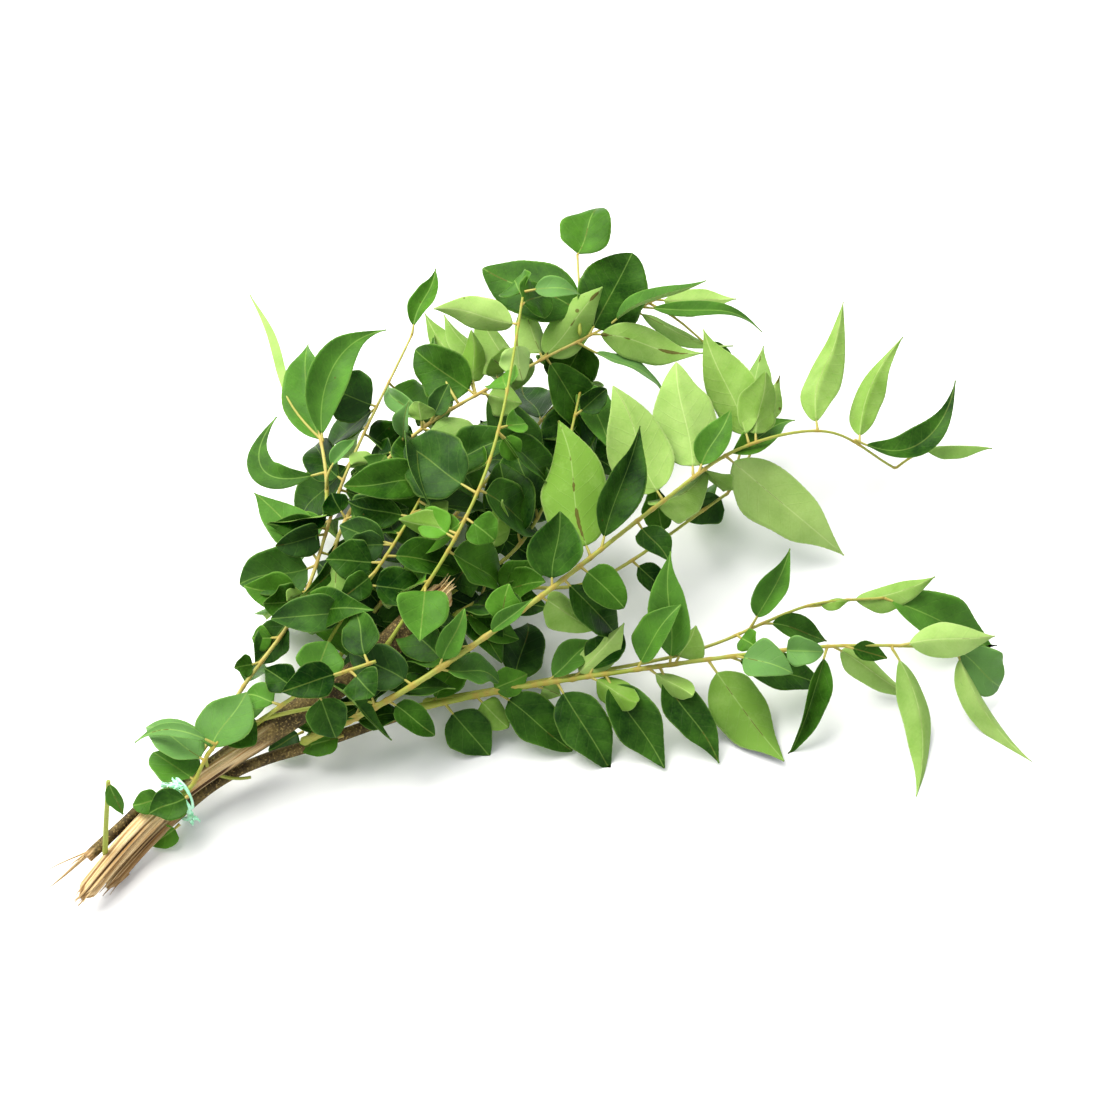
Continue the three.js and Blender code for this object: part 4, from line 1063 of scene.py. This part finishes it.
def make_stalk(name, frond, path, length):
    """The frond's main stalk: it swells at each leaflet's base, is slightly rough, tapers, and
    starts in a green rounded foot. The swellings are bells exp(-(distance / half width) ** 2)."""
    draw = np.random.default_rng(sum(map(ord, name)))
    along = np.linspace(0, 1, len(path))
    first, last = frond["radius"]
    shares = np.array([row[0] for row in frond["clear"] + frond["joined"]])
    joint = np.exp(-((along[:, None] - shares) * length / JOINT_HALF) ** 2).max(1)
    from_end = along * length
    swollen = FOOT_SWELL * np.exp(-(from_end / FOOT_LENGTH) ** 2)
    rounded = np.sqrt(1 - (1 - np.minimum(from_end / DOME, 1)) ** 2 * 0.97)
    radius = (SLIM * (first + (last - first) * along)
              * (1 + JOINT_SWELL * joint + swollen) * rounded)
    rough = radius[:, None] * (1 + ROUGHNESS * draw.standard_normal((len(path), FROND_SIDES)))
    rings = settle(carry(path, rough, FROND_SIDES))
    foot = ramp(from_end, 0, GREEN_FOOT)
    look = np.stack([frond["tan"] * foot, joint * foot, 0 * joint], -1)[:, None]
    add_piece(f"stalk_{name}", [(rings, np.zeros(3), look, np.zeros(FROND_SIDES, int))],
              [stalk_skin], f"frond_{name}")


def make_leaflet(name, root, base, row, node, number, painted_shade=0, **changes):
    """One leaflet as a piece of its own, with its habit changed as given."""
    habit = usual_habit(np.random.default_rng(1000 + number), row)
    # Painted shade: a frond low in the bunch darkens all its leaflets.
    habit["tone"] *= 1 - painted_shade
    habit |= changes
    add_piece(name, leaflet(root, base, row, habit), [leaf_upper, leaf_under, stalk_skin], node)


def make_bare_stalk(name, base, row, node):
    """A thin stalk whose leaflets have gone: an arc from base to tip that bends by curl."""
    straight = {"sway": 0, "droop": 0, "twist": 0, "arch": 0}
    path = midrib(np.linspace(0, 1, 24), base, row, straight)[0]
    rings = carry(path, np.linspace(*BARE_RADIUS, len(path)), BARE_SIDES)
    add_piece(name, [(rings, np.zeros(3), np.array([0.1, 0, 0]), np.zeros(BARE_SIDES, int))],
              [stalk_skin], node)


number = 0
for name, frond in FRONDS.items():
    path, length = smooth_route(frond["route"])
    make_stalk(name, frond, path, length)
    for kind in ("clear", "joined"):
        for place, row in enumerate(frond[kind], 1):
            number += 1
            steps = np.arange(len(path))
            root = np.array([np.interp(row[0] * steps[-1], steps, path[:, k]) for k in range(3)])
            base, node = root, f"frond_{name}"
            if kind == "clear":
                first, last = frond["radius"]
                base = root + pointing(root, row) * (first + (last - first) * row[0] + GAP + START)
                node = f"leaf_{name}_{place}"
            if row[5] == BARE_WIDTH:
                make_bare_stalk(f"bare_stalk_{name}", base, row, node)
                continue
            changes = {}
            for look, places in LOOKS:
                if place in places.get(f"{name} {kind}", ()):
                    changes |= look
            make_leaflet(f"leaflet_{name}_{kind}_{place}", root, base, row, node, number,
                         frond["painted_shade"], **changes)


# ------------------------------------------------------------
# The upright twig: a broken green side shoot that grows from the cut end, with smooth green skin
# and one small leaflet left at its tip.
TWIG_ROUTE = [[-193, 3, 13], [-189, 3.5, 28], [-185, 3, 45]]
TWIG_RADIUS = (0.9, 0.7)
TWIG_SIDES = 10
TWIG_LEAF = [1, -100, -60, -30, 12, 6, 10, 30, 1]
TWIG_LEAF_NUMBER = 900


def make_twig():
    """A round green tube along TWIG_ROUTE that tapers, and its leaflet."""
    path = smooth_route(TWIG_ROUTE)[0]
    rings = carry(path, np.linspace(*TWIG_RADIUS, len(path)), TWIG_SIDES, (1, 0, 0.1))
    add_piece("upright_twig", [(rings, np.zeros(3), np.zeros(3), np.zeros(TWIG_SIDES, int))],
              [stalk_skin], "twig_upright")
    make_leaflet("leaflet_upright_twig", path[-1], path[-1], TWIG_LEAF, "twig_upright",
                 TWIG_LEAF_NUMBER)


make_twig()


# ------------------------------------------------------------
# Loose leaflets: fresh blades like the rest, with short stalks of their own. They are caught under
# the tie or lie beside the stems.
LOOSE = {
    "caught": [[-164, -3.5, 21], [0, 160, -6, 30, 13, 11, 20, 20, 1]],
    "grey": [[-170, 2, 20], [0, 140, -14, 30, 10, 8, 20, 20, 1]],
    "low": [[-168, -1, 6.5], [0, 170, -20, 35, 11, 9, 10, 20, 2]],
    "under_a": [[-117, -2, 7], [0, 165, -8, 20, 13, 11, 10, 20, 2]],
    "under_b": [[-111, -16, 13], [0, 150, -8, 25, 15, 10, 10, 20, 2]],
}
LOOSE_NUMBER = 950
for number, (name, (place, row)) in enumerate(LOOSE.items(), LOOSE_NUMBER):
    place = np.array(place, float)
    make_leaflet(f"leaflet_{name}", place, place, row, f"leaf_{name}", number)


# ------------------------------------------------------------
# The tie: mint green plastic twine, a flat soft strip that is twisted as it is wound. Two turns go
# round everything near the cut ends, cross on the near side, and end in a small knot on top.
TIE_X = -164
TIE_HALF = 0.64  # half the thickness that the wound twine takes up
TIE_MIDDLE = np.array([4, 12])
TIE_SLANT = np.radians(9)
HELD = np.array([[4, 14, 3.8], [2.4, 7.6, 2.4], [9.2, 10.9, 1.2], [-0.3, 18.8, 1.0]])
TWINE_SIDES = 12
PUCKER = 0.18
KNOT_SIZE = 0.4


def twine_material():
    """Polypropylene twine: smooth plastic, a little clear, ribbed along it every 0.35 mm, with
    whitish creases where it is folded. look.x is the crease."""
    material, add = new_material("mint_polypropylene_twine")
    place, look = (add("Attribute", attribute_name=label) for label in ("place", "look"))
    crease = add("SeparateXYZ", {"Vector": look})
    ribs = add("Mapping", {"Vector": place, "Scale": (1 / 6, 1 / 0.35, 1)})
    ribs = add("TexNoise", {"Vector": ribs, "Scale": 1.0, "Detail": 1.0})
    lit = add("MapRange", {"Value": ribs, "From Min": 0.35, "From Max": 0.65})
    colour = linear("#8df0b8")
    for factor, tint in ((lit, "#c8fbdc"), (crease, "#c9f7dc")):
        colour = add("Mix", {"Factor": factor, 6: colour, 7: linear(tint)}, data_type="RGBA")
    bump = add("Bump", {"Height": ribs, "Strength": 0.5, "Distance": 0.2 * MM})
    add("OutputMaterial", {"Surface": add("BsdfPrincipled", {
        "Base Color": colour, "Roughness": 0.38, "IOR": 1.49, "Normal": bump,
        "Subsurface Weight": 0.2, "Subsurface Radius": (0.6, 1.0, 0.8),
        "Subsurface Scale": 0.8 * MM})})
    return material


twine = twine_material()


def strip(path, draw, wide, twist, thick=0.5, ends=1.0):
    """Flat twine along a path: an oval section, wide by thick, that turns by twist radians from end
    to end, puckers by sin(23 t + a) sin(41 t + b), and tapers to ends times its width."""
    t = np.linspace(0, 1, len(path))
    pucker = np.sin(23 * t + draw.uniform(0, 6)) * np.sin(41 * t + draw.uniform(0, 6))
    taper = ends + (1 - ends) * ramp(np.minimum(t, 1 - t), 0, 0.04)
    angle = np.linspace(0, 2 * np.pi, TWINE_SIDES, endpoint=False)[None] - (twist * t)[:, None]
    oval = 1 / np.sqrt((np.cos(angle) / (wide / 2)) ** 2 + (np.sin(angle) / (thick / 2)) ** 2)
    rings = carry(path, oval * ((1 + PUCKER * pucker) * taper)[:, None], TWINE_SIDES,
                  (0.3, 0.9, 0.35))
    along = np.append(0, np.cumsum(np.linalg.norm(np.diff(path, axis=0), axis=1)))
    place = np.stack(np.broadcast_arrays(along[:, None], np.sin(angle) * wide / 2, 0.0), -1)
    crease = np.clip(0.5 * pucker, 0, 1)[:, None, None] * np.array([1.0, 0, 0])
    return rings, place, crease, np.zeros(TWINE_SIDES, int)


def turn_of_twine(slant, start, sweep):
    """One turn round what it holds: from TIE_MIDDLE the reach in each direction is the furthest
    that any held stem goes in it, plus half the twine. slant moves the top towards the leaves."""
    angle = start + np.linspace(0, sweep, 120)
    direction = np.stack([np.cos(angle), np.sin(angle)], 1)
    reach = ((HELD[:, :2] - TIE_MIDDLE) @ direction.T + HELD[:, 2:]).max(0) + GAP + TIE_HALF
    y, z = (TIE_MIDDLE + direction * reach[:, None]).T
    x = TIE_X + np.tan(slant) * (z - TIE_MIDDLE[1])
    return np.stack([x, y, z], 1)


def make_tie():
    """Two turns, a lumpy trefoil knot where they cross on top, and four short loose ends that sag
    by 1.5 s ** 2."""
    draw = np.random.default_rng(21)
    lofts = [strip(turn_of_twine(slant, start, 2 * np.pi), draw, wide=1.5, twist=3 * np.pi)
             for slant, start in ((TIE_SLANT, 0.9), (-TIE_SLANT, 1.1))]
    middle = turn_of_twine(0, 1.9, 0.1)[0] + np.array([0, 0, 0.8])
    t = np.linspace(0, 2 * np.pi, 90)
    knot = np.stack([np.sin(t) + 2 * np.sin(2 * t), np.cos(t) - 2 * np.cos(2 * t),
                     -np.sin(3 * t)], 1)
    lofts.append(strip(middle + KNOT_SIZE * knot, draw, wide=1.2, thick=0.45, twist=5 * np.pi))
    low = turn_of_twine(TIE_SLANT, 3.6, 0.1)[0] + np.array([0, -0.6, 0])
    s = np.linspace(0, 1, 26)[:, None]
    for start, toward, reach in ((middle, (-0.6, 0.8, 0.1), 6), (middle, (0.1, 1.0, 0.3), 4),
                                 (low, (0.5, -0.6, -0.3), 3), (low, (-0.4, -0.7, -0.4), 2)):
        end = start + unit(np.array(toward)) * reach * s + np.array([0, 0, -1.5]) * s ** 2
        lofts.append(strip(end, draw, wide=1.8, twist=1.5 * np.pi, ends=0.7))
    add_piece("twine_tie", lofts, [twine], "tie")


make_tie()
